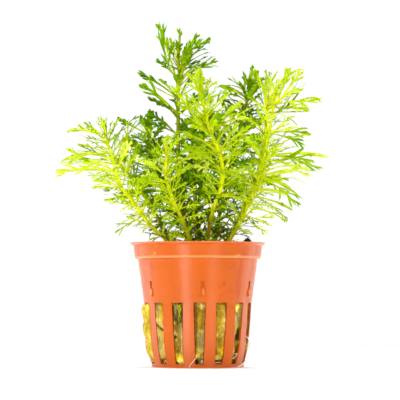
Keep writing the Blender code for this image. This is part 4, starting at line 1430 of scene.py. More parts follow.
@dataclass(frozen=True)
class LeafLine:
    """The line and the turn of one leaf, as the model has it."""

    STALK_END = 0.40

    root: Vector
    tip: Vector
    axis: Vector  # of the stem where it grows
    roll: float
    arch: float = 0.12  # how far its middle lies towards the stem's tip, as a share of the leaf
    bow: float = 0.0  # and how far to its side

    def size(self) -> float:
        """Return the length from root to tip."""
        return (self.tip - self.root).length

    def at(self, share: float) -> tuple[Vector, Vector, Vector, Vector]:
        """Work out how the leaf lies.

        Args:
            share: of its length.

        Returns:
            The point, the direction, the side and the upper side there.
        """
        beside = self.axis.cross(self.tip - self.root)
        control = self.root.lerp(self.tip, 0.5) + self.axis * self.arch * self.size() + beside * self.bow
        first = self.root.lerp(control, share)
        second = control.lerp(self.tip, share)
        direction = (second - first).normalized()
        side = self.axis.cross(direction).normalized()
        side = Quaternion(direction, self.roll * min(1.0, share / self.STALK_END)) @ side
        return first.lerp(second, share), direction, side, direction.cross(side)


@dataclass(frozen=True)
class Lone:
    """A leaf that stands alone, in millimetres, with its tip where the viewer sees it."""

    height: float  # at which its root is seen on the stem
    right: float
    up: float
    arch: float  # how far its middle lies towards the stem's tip, as a share of the leaf
    lighter: float  # than its neighbours
    cut: Cut
    slim: float
    forward: float  # how far its tip lies before its root


@dataclass(frozen=True)
class Shoot:
    """A stem and its whorls, in millimetres, as the viewer sees them against the upright middle plane."""

    name: str
    route: tuple[Spot, ...]  # from the stem's foot in the wool to its tip
    radius: tuple[float, float]
    whorls: tuple[float, ...]  # heights
    tone: float  # of its leaves, 0 for the darkest
    skin: float  # tone of its stem
    cuts: tuple[Cut, Cut]  # of the lowest and of the highest leaves
    fillers: tuple[tuple[float, float], ...]  # height and leaf length of the small whorls between the others
    between: int = 4  # leaves between the others of a whorl
    breadth: float = 1.0  # of its blades
    browned: float = 0.8  # how brown the stem's foot is
    singles: tuple[tuple[float | Cut, ...], ...] = ()  # the leaves that stand alone, with the fields of Lone

    FOOT = 27.35 * MM
    RING_HALF_HEIGHT = 0.6 * MM
    RING_WALL = 0.6 * MM
    SLACK = 0.03 * MM
    SAME_SPOT = 0.002 * MM
    LEAVES = 5
    LEAF_CORNERS = 11

    def points(self) -> list[Vector]:
        """Return the places of the stem's route, without its straight foot in the wool."""
        return seen_route(self.route)

    def at(self, seen_height: float) -> tuple[Vector, Vector, float]:
        """Return the place, the direction and the radius of the stem that is seen at a height.

        Args:
            seen_height: millimetres.

        Returns:
            The three, as the model has them.

        Raises:
            ValueError: if the stem doesn't reach that height.
        """
        points = self.points()
        for low, high, (_, _, start), (_, _, end) in zip(points, points[1:], self.route, self.route[1:]):
            if start <= seen_height <= end:
                share = (seen_height - self.route[0][2]) / (self.route[-1][2] - self.route[0][2])
                place = low.lerp(high, (seen_height - start) / (end - start))
                return place, (high - low).normalized(), mix(*self.radius, share) * MM
        raise ValueError(f"{self.name} has no stem at {seen_height}")

    def node(self, number: int) -> str:
        """Return the name of a whorl's node, counted from 0 for the lowest."""
        return f"whorl_{self.name}_{number + 1}"

    def line(self) -> list[Vector]:
        """Return the stem's smooth line."""
        points = self.points()
        return smooth_line([Vector((*points[0].xy, self.FOOT)), *points], 7)

    def leaves(self, number: int) -> list[LeafLine]:
        """Read the leaves of a whorl from its node.

        Args:
            number: the whorl, counted from 0 for the lowest.

        Returns:
            The line of each leaf.
        """
        place, axis, radius = self.at(self.whorls[number])
        reach = (radius + GAP) / math.cos(math.pi / self.LEAVES) + self.RING_WALL + self.SLACK
        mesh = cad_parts[self.node(number)].data
        keys: dict[tuple[int, ...], int] = {}
        spots: list[Vector] = []
        which = []
        for vertex in mesh.vertices:
            key = tuple(round(value / self.SAME_SPOT) for value in vertex.co)
            if key not in keys:
                keys[key] = len(spots)
                spots.append(vertex.co.copy())
            which.append(keys[key])
        near: list[set[int]] = [set() for _ in spots]
        for face in mesh.polygons:
            corners = [which[index] for index in face.vertices]
            for corner in corners:
                near[corner].update(corners)
        ring = set()
        for index, spot in enumerate(spots):
            off = spot - place
            height = off.dot(axis)
            if abs(height) < self.RING_HALF_HEIGHT + self.SLACK and (off - axis * height).length < reach:
                ring.add(index)
        left = set(range(len(spots))) - ring
        found = []
        while left:
            grown, edge = set(), {left.pop()}
            while edge:
                grown |= edge
                edge = set().union(*(near[index] for index in edge)) - grown - ring
            left -= grown
            leaf = self.leaf_from(spots, near, grown, ring, axis)
            if leaf:
                found.append(leaf)
        return found

    def leaf_from(
        self, spots: list[Vector], near: list[set[int]], grown: set[int], ring: set[int], axis: Vector
    ) -> LeafLine | None:
        """Work out one leaf's line from its corners.

        Args:
            spots: all corners of the whorl.
            near: for each of them, the corners that share a face with it.
            grown: the leaf's own corners.
            ring: those of the ring that it grows from.
            axis: of the stem.

        Returns:
            The line, or nothing where the corners don't make a leaf.
        """
        if len(grown) != self.LEAF_CORNERS:
            LOG.warning("%s has a growth with %d corners", self.name, len(grown))
            return None
        held = set().union(*(near[index] for index in grown)) & ring
        root = sum((spots[index] for index in held), Vector()) / len(held)
        points = sorted(grown, key=lambda index: len(near[index]))[:3]
        points.sort(key=lambda index: (spots[index] - root).length)
        lobes = spots[points[0]] - spots[points[1]]
        leaf = LeafLine(root, spots[points[2]], axis, 0.0)
        _, direction, side, _ = leaf.at(0.8)
        roll = math.atan2(side.cross(lobes).dot(direction), side.dot(lobes))
        if roll > math.pi / 2:
            roll -= math.pi
        elif roll < -math.pi / 2:
            roll += math.pi
        return LeafLine(root, spots[points[2]], axis, roll)


SHOOTS: tuple[Shoot, ...] = (
    Shoot(
        "tall",
        ((-3.0, 6.5, 46), (-5.6, 9, 61.7), (-7.2, 12, 76), (-8.0, 14, 90), (-8.0, 14, 103.3),
         (-8.0, 13, 111), (-7.6, 12, 118.8), (-8.1, 10, 128)),
        (1.1, 0.7), (68, 83, 95, 103.3, 110.2, 117.5, 125), 0.45, 0.34, (FEATHER, ANTLER),
        ((49.5, 8), (53, 9), (57, 10), (62.5, 11), (75, 10), (121.5, 9)),
        between=0, breadth=1.18,
        singles=(
            (118.8, -15.8, 141.7, -0.5, 0.08, FORK, 0.84, 13), (117.5, -17.8, 124.9, 0.1, 0.1, FORK, 0.72, 0),
            (124.1, -7.4, 138.7, 0.02, 0.05, ANTLER, 0.84, 1), (125.7, -11.3, 133.8, -0.15, 0.05, FORK, 0.79, 3),
            (123.2, -11.7, 131.4, -0.1, 0, FORK, 0.72, -2), (122.4, -13.3, 126.5, -0.05, 0.05, FORK, 0.72, 2),
            (120.8, 0.1, 135.1, 0.15, 0, ANTLER, 0.95, 2), (120.8, 5.4, 131.6, 0.55, 0, ANTLER, 0.95, 4),
            (121.6, 4.6, 129.3, 0.35, 0.0, ANTLER, 1.1, 3), (120, 5.8, 128.1, 0.25, -0.05, ANTLER, 1.05, 0),
            (122.4, 5.4, 133.4, 0.05, 0.0, FORK, 0.85, 2), (117.1, -3.1, 132.2, 0.05, 0.18, ANTLER, 1.26, 7),
            (116.7, 7.3, 127.1, 0.02, 0.05, ANTLER, 0.95, 5), (117.5, 8.3, 122, 0.4, 0.25, FORK, 0.72, 3),
            (119.2, 4.6, 126.9, 0.1, -0.1, ANTLER, 0.95, -2), (115.1, 0.9, 124.1, 0.2, 0.12, ANTLER, 1.05, 9),
            (114.3, 2.6, 119.2, 0.3, 0, FEATHER, 0.95, 7), (121.6, -4, 132.8, 0.05, -0.05, ANTLER, 0.84, -3),
            (120, 2.2, 129.3, 0.25, -0.12, ANTLER, 0.89, -4), (109.4, -24.9, 120, -0.13, 0.16, FORK, 0.89, 3),
            (101.6, -24.3, 115.5, 0.1, -0.05, FORK, 1.05, 2), (101.6, -20.5, 109.4, 0.22, -0.02, STRAP, 1.26, 4),
            (112.6, -17, 117.3, 0, 0.15, FORK, 0.72, 2), (103.7, -15.4, 106.9, 0.1, -0.1, ANTLER, 1.05, 6),
            (110.2, -1.5, 116.7, 0.1, -0.1, FEATHER, 0.95, -3),
        ),
    ),
    Shoot(
        "front",
        ((3.2, -4, 46), (6.2, -11, 63.4), (8.7, -14, 69.9), (10.3, -18, 76.8), (9.9, -22, 82.9),
         (8.7, -25, 88.2), (5.4, -27, 95.1), (3.0, -26, 103.7), (1.8, -24, 111.8), (0.9, -23, 116.5)),
        (0.95, 0.6), (69.9, 79.9, 87.4, 94.7, 102.9, 112), 0.84, 0.95, (COMB, FEATHER),
        ((51.5, 8), (57.5, 11), (64, 12), (74, 12), (84, 12), (91, 12), (99, 12), (107, 10)),
        between=7, breadth=1.1,
        singles=(
            (103.7, -1.1, 122, 0.04, 0.15, FORK, 0.8, 2), (108.6, 5.2, 118.6, 0.05, 0.22, FORK, 0.8, 0),
            (103.7, 8.3, 115.9, 0.1, 0.15, FEATHER, 0.84, 3), (101.2, 13.6, 112.2, 0.06, 0.3, FEATHER, 1.02, 5),
            (97.2, 18.9, 109, 0.02, 0.22, FORK, 0.88, 6), (101.2, -11.3, 115.1, -0.04, 0.22, FORK, 0.84, 3),
            (103.7, -8.4, 114.7, 0, 0.15, FORK, 0.75, 0), (94.7, 24.6, 106.5, 0.1, 0.25, FEATHER, 0.88, 4),
            (94.7, 22.1, 101.2, 0.25, 0.3, FEATHER, 0.88, 7), (94.7, -8, 103.7, 0.2, 0.15, FORK, 0.88, 4),
            (87.8, 20.5, 94.7, 0.35, 0.3, FEATHER, 0.97, 5), (87.8, -10.5, 95.1, 0.25, 0.22, FORK, 0.84, 5),
            (87.8, 17.2, 99.6, 0.1, 0.28, FORK, 0.88, 2), (94.7, 6.6, 109.4, 0, 0.12, FEATHER, 0.88, -4),
            (80.1, 21.3, 89.8, 0.35, 0.05, FEATHER, 0.88, 3), (80.1, -7.2, 88.2, 0.3, 0.1, FORK, 0.8, 3),
        ),
    ),
    Shoot(
        "right",
        ((9.5, -1, 46), (14.2, -2, 54.2), (17.2, -3, 60.9), (21.7, -5, 70.7), (24.6, -6, 78.9),
         (26.6, -6, 86.9), (27.9, -6, 96.3), (28.2, -5, 104.5), (27.2, -4, 113.5)),
        (1.15, 0.75), (62, 70, 77.5, 86, 95, 105.0, 112), 0.58, 0.60, (COMB, FEATHER),
        ((50.5, 6), (54, 9), (57.5, 10), (66, 12), (74, 12), (82, 9), (90, 8), (99, 7)),
        between=3,
        singles=(
            (104.5, 38.2, 122.6, 0, 0.38, ANTLER, 1.1, 0), (106.1, 43.7, 121.2, 0.4, 0.38, STRAP, 1.42, 1),
            (103.3, 41.3, 117.5, -0.5, -0.24, FORK, 1.05, 3), (103.3, 41.7, 112.4, -0.35, -0.2, STRAP, 0.84, 4),
            (105.3, 44.9, 116.1, -0.12, 0.45, FORK, 0.72, 0), (103.3, 46.2, 103.9, 0, -0.05, STRAP, 0.95, 2),
            (103.3, 41.1, 97.6, 0.3, 0.3, FORK, 0.84, 0), (86.2, 39, 98.6, -0.08, -0.12, FORK, 1.05, 3),
            (85.4, 46.6, 94.1, 0.3, 0.1, STRAP, 0.72, 0), (106.9, 34.8, 103.3, 0.35, -0.25, STRAP, 0.84, -1),
            (112.2, 30.9, 117.9, 0, -0.18, ANTLER, 0.84, -1), (111.8, 33.5, 117.3, 0.1, -0.12, ANTLER, 0.84, -2),
            (111, 29.5, 117.1, 0.35, 0.2, FORK, 0.84, 3), (84.9, 43.7, 89.6, -0.35, -0.1, STRAP, 1.31, 4),
            (84.9, 41.3, 89.8, 0.12, 0.15, FEATHER, 0.95, 2), (95.1, 33.9, 101.2, 0.1, 0.25, FORK, 0.84, 4),
            (104.5, 35.2, 114.3, 0.05, 0.1, FORK, 0.84, -3), (77.6, 49.6, 80.1, 0.12, 0.05, FORK, 1.05, 5),
        ),
    ),
    Shoot(
        "front_right",
        ((10.8, -9, 46), (17.4, -13, 58.9), (22.4, -18, 69.9), (26.2, -22, 80), (28.6, -24, 92.3),
         (30.3, -23, 101.2), (31.6, -22, 109.5)),
        (0.9, 0.55), (60, 73, 84, 95.5, 107), 0.95, 0.60, (FEATHER, FEATHER),
        ((56, 6), (66.5, 11), (72, 11), (76, 11), (80, 11), (87, 10), (91, 9)),
        between=4, browned=0.1,
        singles=(
            (77.6, 45.8, 77.2, 0.32, 0.25, FORK, 0.72, -4), (73.9, 45.3, 73.3, 0.36, -0.05, FORK, 0.72, -2),
            (78, 39.2, 79.6, 0.02, 0.1, STRAP, 1.16, 1), (71.9, 40.7, 65.4, 0.22, 0.3, FORK, 0.72, -2),
            (76, 37.6, 73.1, 0.2, 0.12, STRAP, 1.26, 3), (71.9, 36, 69.9, 0.18, 0.15, STRAP, 1.37, 4),
            (64.6, 36.2, 58.9, 0.2, 0.1, FORK, 0.89, 2), (62.1, 30.1, 57.2, 0, 0.15, FORK, 0.72, 1),
            (65.4, 31.9, 64.6, 0.3, 0.05, FORK, 0.84, 0), (79.2, 46.2, 78.6, 0.35, 0.1, FORK, 0.79, 2),
        ),
    ),
    Shoot(
        "low_left",
        ((-6.0, -2, 46), (-11.4, -5, 50.5), (-17.0, -8, 55.2), (-20.7, -10, 59.3), (-27.6, -13, 68.6),
         (-32.1, -14, 74.4), (-34.2, -14, 82.0)),
        (0.9, 0.6), (58.5, 66, 73.4, 80), 0.96, 0.76, (FEATHER, FEATHER),
        ((50.5, 5), (53.5, 7), (62, 10), (70, 11), (76.5, 11)),
        between=3, browned=0.2,
        singles=(
            (71.9, -43.5, 72.7, 0.06, -0.08, FORK, 0.84, 0), (74.4, -42.7, 73.5, 0.18, 0.12, STRAP, 0.84, 2),
            (65.4, -38.2, 67.8, 0.02, 0.1, STRAP, 1.16, 1), (59.3, -29.2, 60.7, 0.05, 0.05, FORK, 0.95, 0),
            (75.2, -42.2, 75.8, 0.02, 0.25, STRAP, 0.72, 0), (57.2, -22.5, 54.6, 0.25, -0.45, FORK, 0.73, 1),
            (55.6, -19.8, 51.9, 0.2, -0.45, FORK, 0.72, 2), (62.1, -28.8, 65, 0.1, 0.15, FORK, 0.73, -2),
            (71.9, -34.1, 70.1, 0.1, -0.2, FORK, 0.73, 3), (79.2, -43.1, 76.8, 0.3, 0, STRAP, 0.95, 0),
        ),
    ),
    Shoot(
        "left",
        ((-7.4, 3.2, 46), (-11.6, 4, 52), (-15.4, 6, 58.9), (-23.5, 7, 71.9), (-31.7, 7, 82.5),
         (-36.4, 6, 89.5), (-38.2, 5, 98)),
        (0.95, 0.65), (63, 71, 79, 87.2, 94.5), 0.585, 0.70, (FEATHER, FEATHER),
        ((50.5, 6), (54, 8), (58, 10), (67, 13), (75, 13), (83, 12), (91, 9)),
        between=6, browned=0.5,
        singles=(
            (93.1, -47.1, 99.6, -0.18, 0.1, STRAP, 0.84, 1), (93.1, -43.7, 99.2, -0.45, 0.1, STRAP, 0.84, 3),
            (93.1, -53, 96.4, 0.18, 0.38, STRAP, 0.72, 0), (93.1, -48.8, 94.3, -0.1, 0.4, FORK, 0.72, 2),
            (84.9, -45.9, 91.5, 0.5, 0.25, FORK, 0.89, 2), (84.9, -49.6, 90.4, 0, -0.25, FEATHER, 0.95, 0),
            (84.1, -55.3, 83.7, 0.32, 0.15, STRAP, 1.05, 3), (85.4, -52, 87.8, 0.12, 0.38, STRAP, 0.72, 0),
            (84.9, -52.4, 84.9, -0.06, 0, FORK, 0.89, 5), (82.5, -57.3, 82.7, 0.1, 0.38, FORK, 0.84, 1),
            (79.2, -58.7, 78.2, 0.12, 0.22, FORK, 1.05, 2), (92.3, -39.4, 102.1, -0.05, 0.3, FORK, 0.72, 0),
            (93.1, -37.8, 100, 0, 0, ANTLER, 0.84, 2), (92.3, -32.9, 100.8, -0.1, -0.22, ANTLER, 0.95, -2),
            (84.1, -28.4, 101.6, -0.2, 0.15, FEATHER, 1.05, 3), (84.9, -16.6, 102.1, 0.3, 0, FORK, 0.95, 0),
            (88.2, -22.7, 102.5, 0.25, -0.28, FEATHER, 0.84, -4), (77.6, -20.2, 95.5, 0.1, 0.05, FORK, 1.05, 4),
            (80.9, -24.7, 92.3, 0.1, -0.2, FEATHER, 1.05, -6), (79.2, -23.1, 88.2, 0.3, 0, FEATHER, 1.05, 6),
        ),
    ),
    Shoot(
        "front_left",
        ((-1.8, -7.5, 46), (-7.6, -17, 62.5), (-9.7, -20, 67), (-12.9, -25, 76.8), (-12.9, -27, 82.1),
         (-12.7, -27, 90.5)),
        (0.9, 0.55), (64, 71.4, 78.5, 87), 0.84, 0.88, (COMB, FEATHER),
        ((51.5, 8), (55, 10), (60, 11), (67.5, 12), (75, 12), (82.5, 11)),
        between=7, browned=0.5,
        singles=(
            (78, -27.2, 84.1, 0.3, 0.25, FEATHER, 0.88, 5), (78.8, 2.2, 84.5, 0.35, 0.1, FEATHER, 0.88, 6),
            (71.1, -23.9, 75.2, 0.3, 0.12, FORK, 0.88, 6), (86.2, -21.1, 98, 0, 0.2, FEATHER, 0.92, 2),
            (87.4, -5.6, 93.9, 0.1, 0.15, FORK, 0.88, 4), (64.2, -21.9, 65, 0.2, 0.05, FORK, 0.8, 4),
            (82.1, -19.4, 91.5, 0.05, 0.28, FEATHER, 0.88, 4), (84.1, -10.5, 92.7, -0.05, 0.15, FORK, 0.8, 4),
        ),
    ),
    Shoot(
        "middle",
        ((1.4, 2.0, 46), (-0.6, 6, 62), (-1.0, 14, 76), (0.3, 22, 92), (1.2, 24, 98)),
        (0.95, 0.65), (64, 79, 93), 0.49, 0.34, (FEATHER, FEATHER),
        ((49, 8), (51, 9), (54, 10), (59, 12), (66, 14), (71.5, 15), (75, 15), (82, 16), (87, 15), (91, 13)),
        between=7, breadth=1.4,
    ),
    Shoot(
        "back_right",
        ((5.6, 5.5, 46), (9.9, 13, 66), (15.2, 22, 88.2), (18.5, 26, 102.5), (21.7, 27, 113)),
        (1.0, 0.65), (78, 94, 109), 0.50, 0.36, (FEATHER, ANTLER),
        ((50, 8), (54, 10), (59, 12), (64, 14), (69, 15), (74, 15), (82, 15), (87, 14), (91, 14), (98, 13), (103, 13)),
        between=7, breadth=1.4,
        singles=(
            (112.6, 22.3, 123.4, 0.05, 0.08, ANTLER, 1.1, 3), (112.6, 18.9, 120, -0.05, 0.05, ANTLER, 0.89, 4),
            (111.8, 25, 121, 0, 0.05, ANTLER, 1.1, 2), (111.8, 27, 118.3, 0.02, -0.05, ANTLER, 1, 4),
            (110.2, 6.6, 113.1, 0.4, 0.05, FEATHER, 0.84, 4), (110.2, 11.7, 117.5, 0.2, 0.08, FORK, 0.79, 3),
            (109.8, 15.2, 116.3, 0.1, 0.05, FORK, 0.84, 5), (109.4, 16.8, 116.7, 0, 0, ANTLER, 0.89, 2),
            (107.8, 9.9, 111, 0.25, -0.05, FEATHER, 1.05, 5), (108.6, 13.6, 113.5, 0.15, -0.1, FEATHER, 1.16, 6),
            (108.6, 18, 115.1, 0, -0.1, FEATHER, 1.16, 5), (109.4, 21.3, 118.3, 0, -0.12, FEATHER, 1.16, 6),
            (108.6, 26.2, 115.9, 0, -0.15, FEATHER, 1.16, 5), (106.1, 7.5, 108.2, 0.2, 0, FEATHER, 1.16, 8),
            (105.3, 13.2, 109, 0.15, -0.12, FEATHER, 1.16, 8), (106.1, 26.2, 111.8, 0.05, -0.15, FEATHER, 1.16, 6),
            (103.7, 11.5, 106.1, 0.2, 0, FEATHER, 1.16, 8), (110.2, 23.8, 115.1, 0, 0.05, ANTLER, 1.05, 8),
        ),
    ),
    Shoot(
        "back_left",
        ((-0.6, 10, 46), (-6.0, 18, 58), (-11.3, 24, 68), (-17.4, 28, 82.1), (-21.0, 28, 97)),
        (0.95, 0.65), (72, 84, 95), 0.50, 0.36, (FEATHER, FEATHER),
        ((54, 9), (59, 12), (63, 13), (68, 14), (76, 14), (80, 13), (88, 12), (91, 12)),
        between=7, breadth=1.4,
        singles=(
            (94.7, -12.1, 98.8, 0.3, 0.05, FEATHER, 1.05, 2), (93.9, -15.4, 95.5, 0.25, 0, FEATHER, 1.16, 6),
            (88.2, -8, 93.1, 0.25, -0.05, FEATHER, 1.16, 8), (92.3, -18.6, 101.2, 0.1, 0.08, FEATHER, 1.05, 5),
        ),
    ),
)


@dataclass
class Foliage:
    """All leaves of one shoot, with the swollen joints that they grow from."""

    shoot: Shoot
    dice: random.Random
    box: tuple[Vector, Vector]  # that the model fills
    stalk_points: int = 16
    lobe_points: int = 6
    tooth_points: int = 4
    margin: float = 0.35 * MM
    clear: float = 0.02 * MM  # by which a blade lies above the one that it grows from
    rim: tuple[float, float] = (23.8 * MM, 51.3 * MM)  # radius from which leaves lie above the pot, and how high
    samples: int = 41
    filler_leaves: int = 9
    tuft_leaves: int = 9
    overshoot: float = 1.25  # of the leaf's length, for lobes that reach past its tip
    stock: MeshStock = field(default_factory=MeshStock)

    # Widths between which a tip comes to lie outside in the bunch, heights between which it comes to lie on top,
    # and heights and widths between which it comes to lie low in it, and to hang below it.
    OUTSIDE = (24 * MM, 40 * MM)
    ON_TOP = (104 * MM, 120 * MM)
    LOW = ((72 * MM, 60 * MM), (16 * MM, 26 * MM))
    HANGING = ((68 * MM, 57 * MM), (20 * MM, 30 * MM))

    def lay(self, leaf: LeafLine) -> Lay:
        """Sample a leaf's line at even shares, the last past its tip.

        Args:
            leaf: the line.

        Returns:
            Its points, sides and upper sides.
        """
        shares = np.linspace(0.0, self.overshoot, self.samples)
        rows = [leaf.at(share) for share in shares]
        return tuple(np.array([tuple(row[part]) for row in rows]) for part in (0, 2, 3))

    def on(self, lay: Lay, shares: np.ndarray, which: int) -> np.ndarray:
        """Read a lay at any shares.

        Args:
            lay: the leaf's vectors.
            shares: of its length.
            which: 0 for the points, 1 for the sides and 2 for the upper sides.

        Returns:
            The vectors, in one more dimension than the shares have.
        """
        place = np.clip(shares / self.overshoot, 0, 0.9999) * (self.samples - 1)
        low = place.astype(int)
        part = (place - low)[..., None]
        return lay[which][low] * (1 - part) + lay[which][low + 1] * part

    def blades(
        self, lay: Lay, length: float, start: np.ndarray, heading: np.ndarray, reach: np.ndarray,
        curve: np.ndarray, lift: np.ndarray, points: int,
    ) -> tuple[np.ndarray, np.ndarray, np.ndarray]:
        """Lay slender blades on the leaf's curved plane.

        Args:
            lay: the leaf's vectors.
            length: the leaf's length.
            start: where each blade starts, as distance along the leaf and to its side.
            heading: its first angle from the leaf's direction, in radians.
            reach: its length.
            curve: how far it turns by its end.
            lift: how steeply it rises out of the plane.
            points: how many points it has.

        Returns:
            The points, the upper sides, and the points as distances along and to the side.
        """
        steps = np.linspace(0, 1, points)
        angles = heading[:, None] + curve[:, None] * steps
        stride = reach[:, None] / (points - 1)
        shift = np.stack([np.cos(angles), np.sin(angles)], -1) * stride[..., None]
        flat = start[:, None] + np.cumsum(shift, 1) - shift
        shares = flat[..., 0] / length
        away = np.linalg.norm(flat - start[:, None], axis=-1)
        upper = self.on(lay, shares, 2)
        side = self.on(lay, shares, 1)
        height = lift[:, None] * away + self.clear
        places = self.on(lay, shares, 0) + side * flat[..., 1:] + upper * height[..., None]
        return self.held(places), upper, flat

    def held(self, places: np.ndarray) -> np.ndarray:
        """Keep points within the model's box and off the pot's rim.

        Args:
            places: the points.

        Returns:
            The points, moved where they have to be.
        """
        low, high = (np.array(tuple(corner)) for corner in self.box)
        places = np.clip(places, low + self.margin, high - self.margin)
        radius, level = self.rim
        outside = np.clip((np.hypot(places[..., 0], places[..., 1]) - radius) / (2 * MM), 0.0, 1.0)
        short = np.maximum(0.0, level - places[..., 2]) * outside
        return places + short[..., None] * (0.0, 0.0, 1.0)

    def grow(self, leaf: LeafLine, joint: Vector, cut: Cut, tone: float, slim: float = 1.0) -> None:
        """Grow one divided leaf.

        Args:
            leaf: its line.
            joint: the middle of the stem's joint.
            cut: how it is divided.
            tone: its tone.
            slim: how wide its parts are, against a full-grown leaf's.
        """
        lay = self.lay(leaf)
        length = leaf.size()
        slim *= self.shoot.breadth * min(1.15, max(0.7, length / (16 * MM)))
        steps = np.linspace(0, 1, self.stalk_points)
        stalk = self.on(lay, steps, 0)[None]
        inner = np.array(tuple(joint.lerp(leaf.root, 0.35)))[None, None]
        stalk = self.held(np.concatenate([inner, stalk], 1))
        upper = np.concatenate([self.on(lay, steps[:1], 2), self.on(lay, steps, 2)])[None]
        along = np.concatenate([[0.0], steps])
        wings = (0.0, 0.08, cut.first - 0.10, cut.first + 0.08, 0.8, 0.93, 1.0)
        swell = (1.25, 0.85, 0.85, cut.wing, cut.wing * 0.9, 0.9, 0.2)
        wide = cut.half_width * MM * slim * np.interp(along, wings, swell)
        thick = wide * np.interp(along, (0.0, cut.first, cut.first + 0.1, 1.0), (1.2, 1.0, 0.4, 0.3))
        rib = np.interp(along, (0.0, cut.first - 0.1, cut.first + 0.1, 1.0), (1.0, 1.0, 0.75, 0.45))
        paint = np.stack([np.full_like(along, tone), rib, along], -1)[None]
        self.stock.strips(stalk, upper, wide[None], thick[None], paint)
        for side in (-1, 1):
            self.grow_side(lay, length, cut, side, tone, slim)

    def grow_side(self, lay: Lay, length: float, cut: Cut, side: int, tone: float, slim: float) -> None:
        """Grow the lobes and their teeth on one side of a leaf.

        Args:
            lay: the leaf's vectors.
            length: its length.
            cut: how it is divided.
            side: 1 or -1.
            tone: its tone.
            slim: how wide its parts are.
        """
        count = max(1, round(cut.lobes * (0.70 + 0.30 * min(1.4, length / (14 * MM)))))
        dice = np.random.default_rng(self.dice.getrandbits(32))
        order = (np.arange(count) + 0.25 + 0.22 * side + dice.uniform(-0.28, 0.28, count)) / count
        first = cut.first + np.clip(order, 0, 1) * (0.90 - cut.first)
        profile = np.interp(first, (cut.first, 0.55, 0.7, 0.9), (0.82, 1.0, 0.82, 0.40))
        reach = length * cut.reach * profile * dice.uniform(0.7, 1.2, count)
        heading = side * np.radians(np.interp(first, (0.3, 0.9), cut.angles) + dice.uniform(-8, 8, count))
        curve = -side * np.radians(dice.uniform(-12, 28, count))
        lift = dice.uniform(-0.08, 0.24, count)
        start = np.stack([first * length, np.zeros(count)], -1)
        points = self.lobe_points
        places, upper, flat = self.blades(lay, length, start, heading, reach, curve, lift, points)
        steps = np.linspace(0, 1, points)
        swell = np.interp(steps, (0, 0.2, 0.6, 0.85, 1), (0.75, 0.8, 1.05, 0.8, 0.0))
        wide = cut.half_width * MM * slim * swell * dice.uniform(0.8, 1.15, (count, 1))
        shade = tone + dice.uniform(-0.16, 0.08, (count, 1))
        parts = (shade, 0.55 - 0.45 * steps, first[:, None])
        paint = np.stack([np.broadcast_to(part, (count, points)) for part in parts], -1)
        self.stock.strips(places, upper, wide, wide * 0.32, paint)
        for where in (0.36, 0.6):
            has = (dice.random(count) < cut.teeth) & (reach > 2.6 * MM)
            if not has.any():
                continue
            number = int(has.sum())
            index = min(points - 2, round(where * (points - 1)))
            way = np.where(dice.random(number) < 0.35, -side, side)
            turned = heading[has] + curve[has] * where + way * np.radians(dice.uniform(22, 38, number))
            tooth = reach[has] * dice.uniform(0.30, 0.5, number)
            bent = -way * np.radians(dice.uniform(0, 22, number))
            spots = self.blades(lay, length, flat[has, index], turned, tooth, bent, lift[has], self.tooth_points)
            rise = (places[has, index] - spots[0][:, 0])[:, None]
            steps = np.linspace(0, 1, self.tooth_points)
            taper = np.interp(steps, (0, 0.5, 1), (0.8, 0.85, 0.0))
            thin = cut.half_width * MM * slim * taper * dice.uniform(0.75, 1.0, (number, 1))
            tints = np.repeat(paint[has, index][:, None], self.tooth_points, 1)
            self.stock.strips(spots[0] + rise, spots[1], thin, thin * 0.32, tints)

    def young(self, first: LeafLine, second: LeafLine, centre: Vector) -> LeafLine:
        """Return a shorter leaf between two of a whorl.

        Args:
            first: one of the two.
            second: the other.
            centre: of the whorl.

        Returns:
            Its line.
        """
        share = self.dice.uniform(0.3, 0.7)
        out = (first.root - centre).lerp(second.root - centre, share)
        out = out.normalized() * (first.root - centre).length
        way = (first.tip - first.root).normalized().lerp((second.tip - second.root).normalized(), share)
        way = (way.normalized() + first.axis * self.dice.uniform(-0.25, 0.6)).normalized()
        length = min(first.size(), second.size()) * self.dice.uniform(0.7, 1.05)
        root = centre + out
        roll = mix(first.roll, second.roll, share) + self.dice.uniform(-0.5, 0.5)
        return LeafLine(root, root + way * length, first.axis, roll, bow=self.dice.uniform(-0.15, 0.15))

    def filler(self, height: float, length: float) -> None:
        """Grow a small whorl between those of the model.

        Args:
            height: at which it is seen, in millimetres.
            length: of its leaves, in millimetres.
        """
        shoot, dice = self.shoot, self.dice
        place, axis, radius = shoot.at(height)
        centre = self.on_line(place, axis)
        start = axis.orthogonal().normalized()
        turn = dice.uniform(0, math.tau)
        low = smooth_step(70.0, 54.0, height)
        count = self.filler_leaves
        for number in range(count):
            out = Quaternion(axis, turn + (number + dice.uniform(-0.3, 0.3)) * math.tau / count) @ start
            rise = dice.uniform(0.05, 0.85)
            way = (out + axis * rise).normalized()
            root = centre + out * radius + axis * dice.uniform(-0.5, 0.5) * MM
            reach = length * dice.uniform(0.65, 1.15) * MM
            leaf = LeafLine(root, root + way * reach, axis, dice.uniform(-0.9, 0.9), bow=dice.uniform(-0.15, 0.15))
            tone = self.painted_light_tone(leaf, shoot.tone - 0.08 + 0.04 * low)
            if low > 0.5 and dice.random() < 0.22:
                tone = dice.uniform(0.0, 0.25)
            outer = self.outer(leaf)
            cut = FORK if dice.random() < outer else dice.choice(shoot.cuts)
            self.grow(leaf, centre, cut, tone, mix(0.95, 0.75, outer))

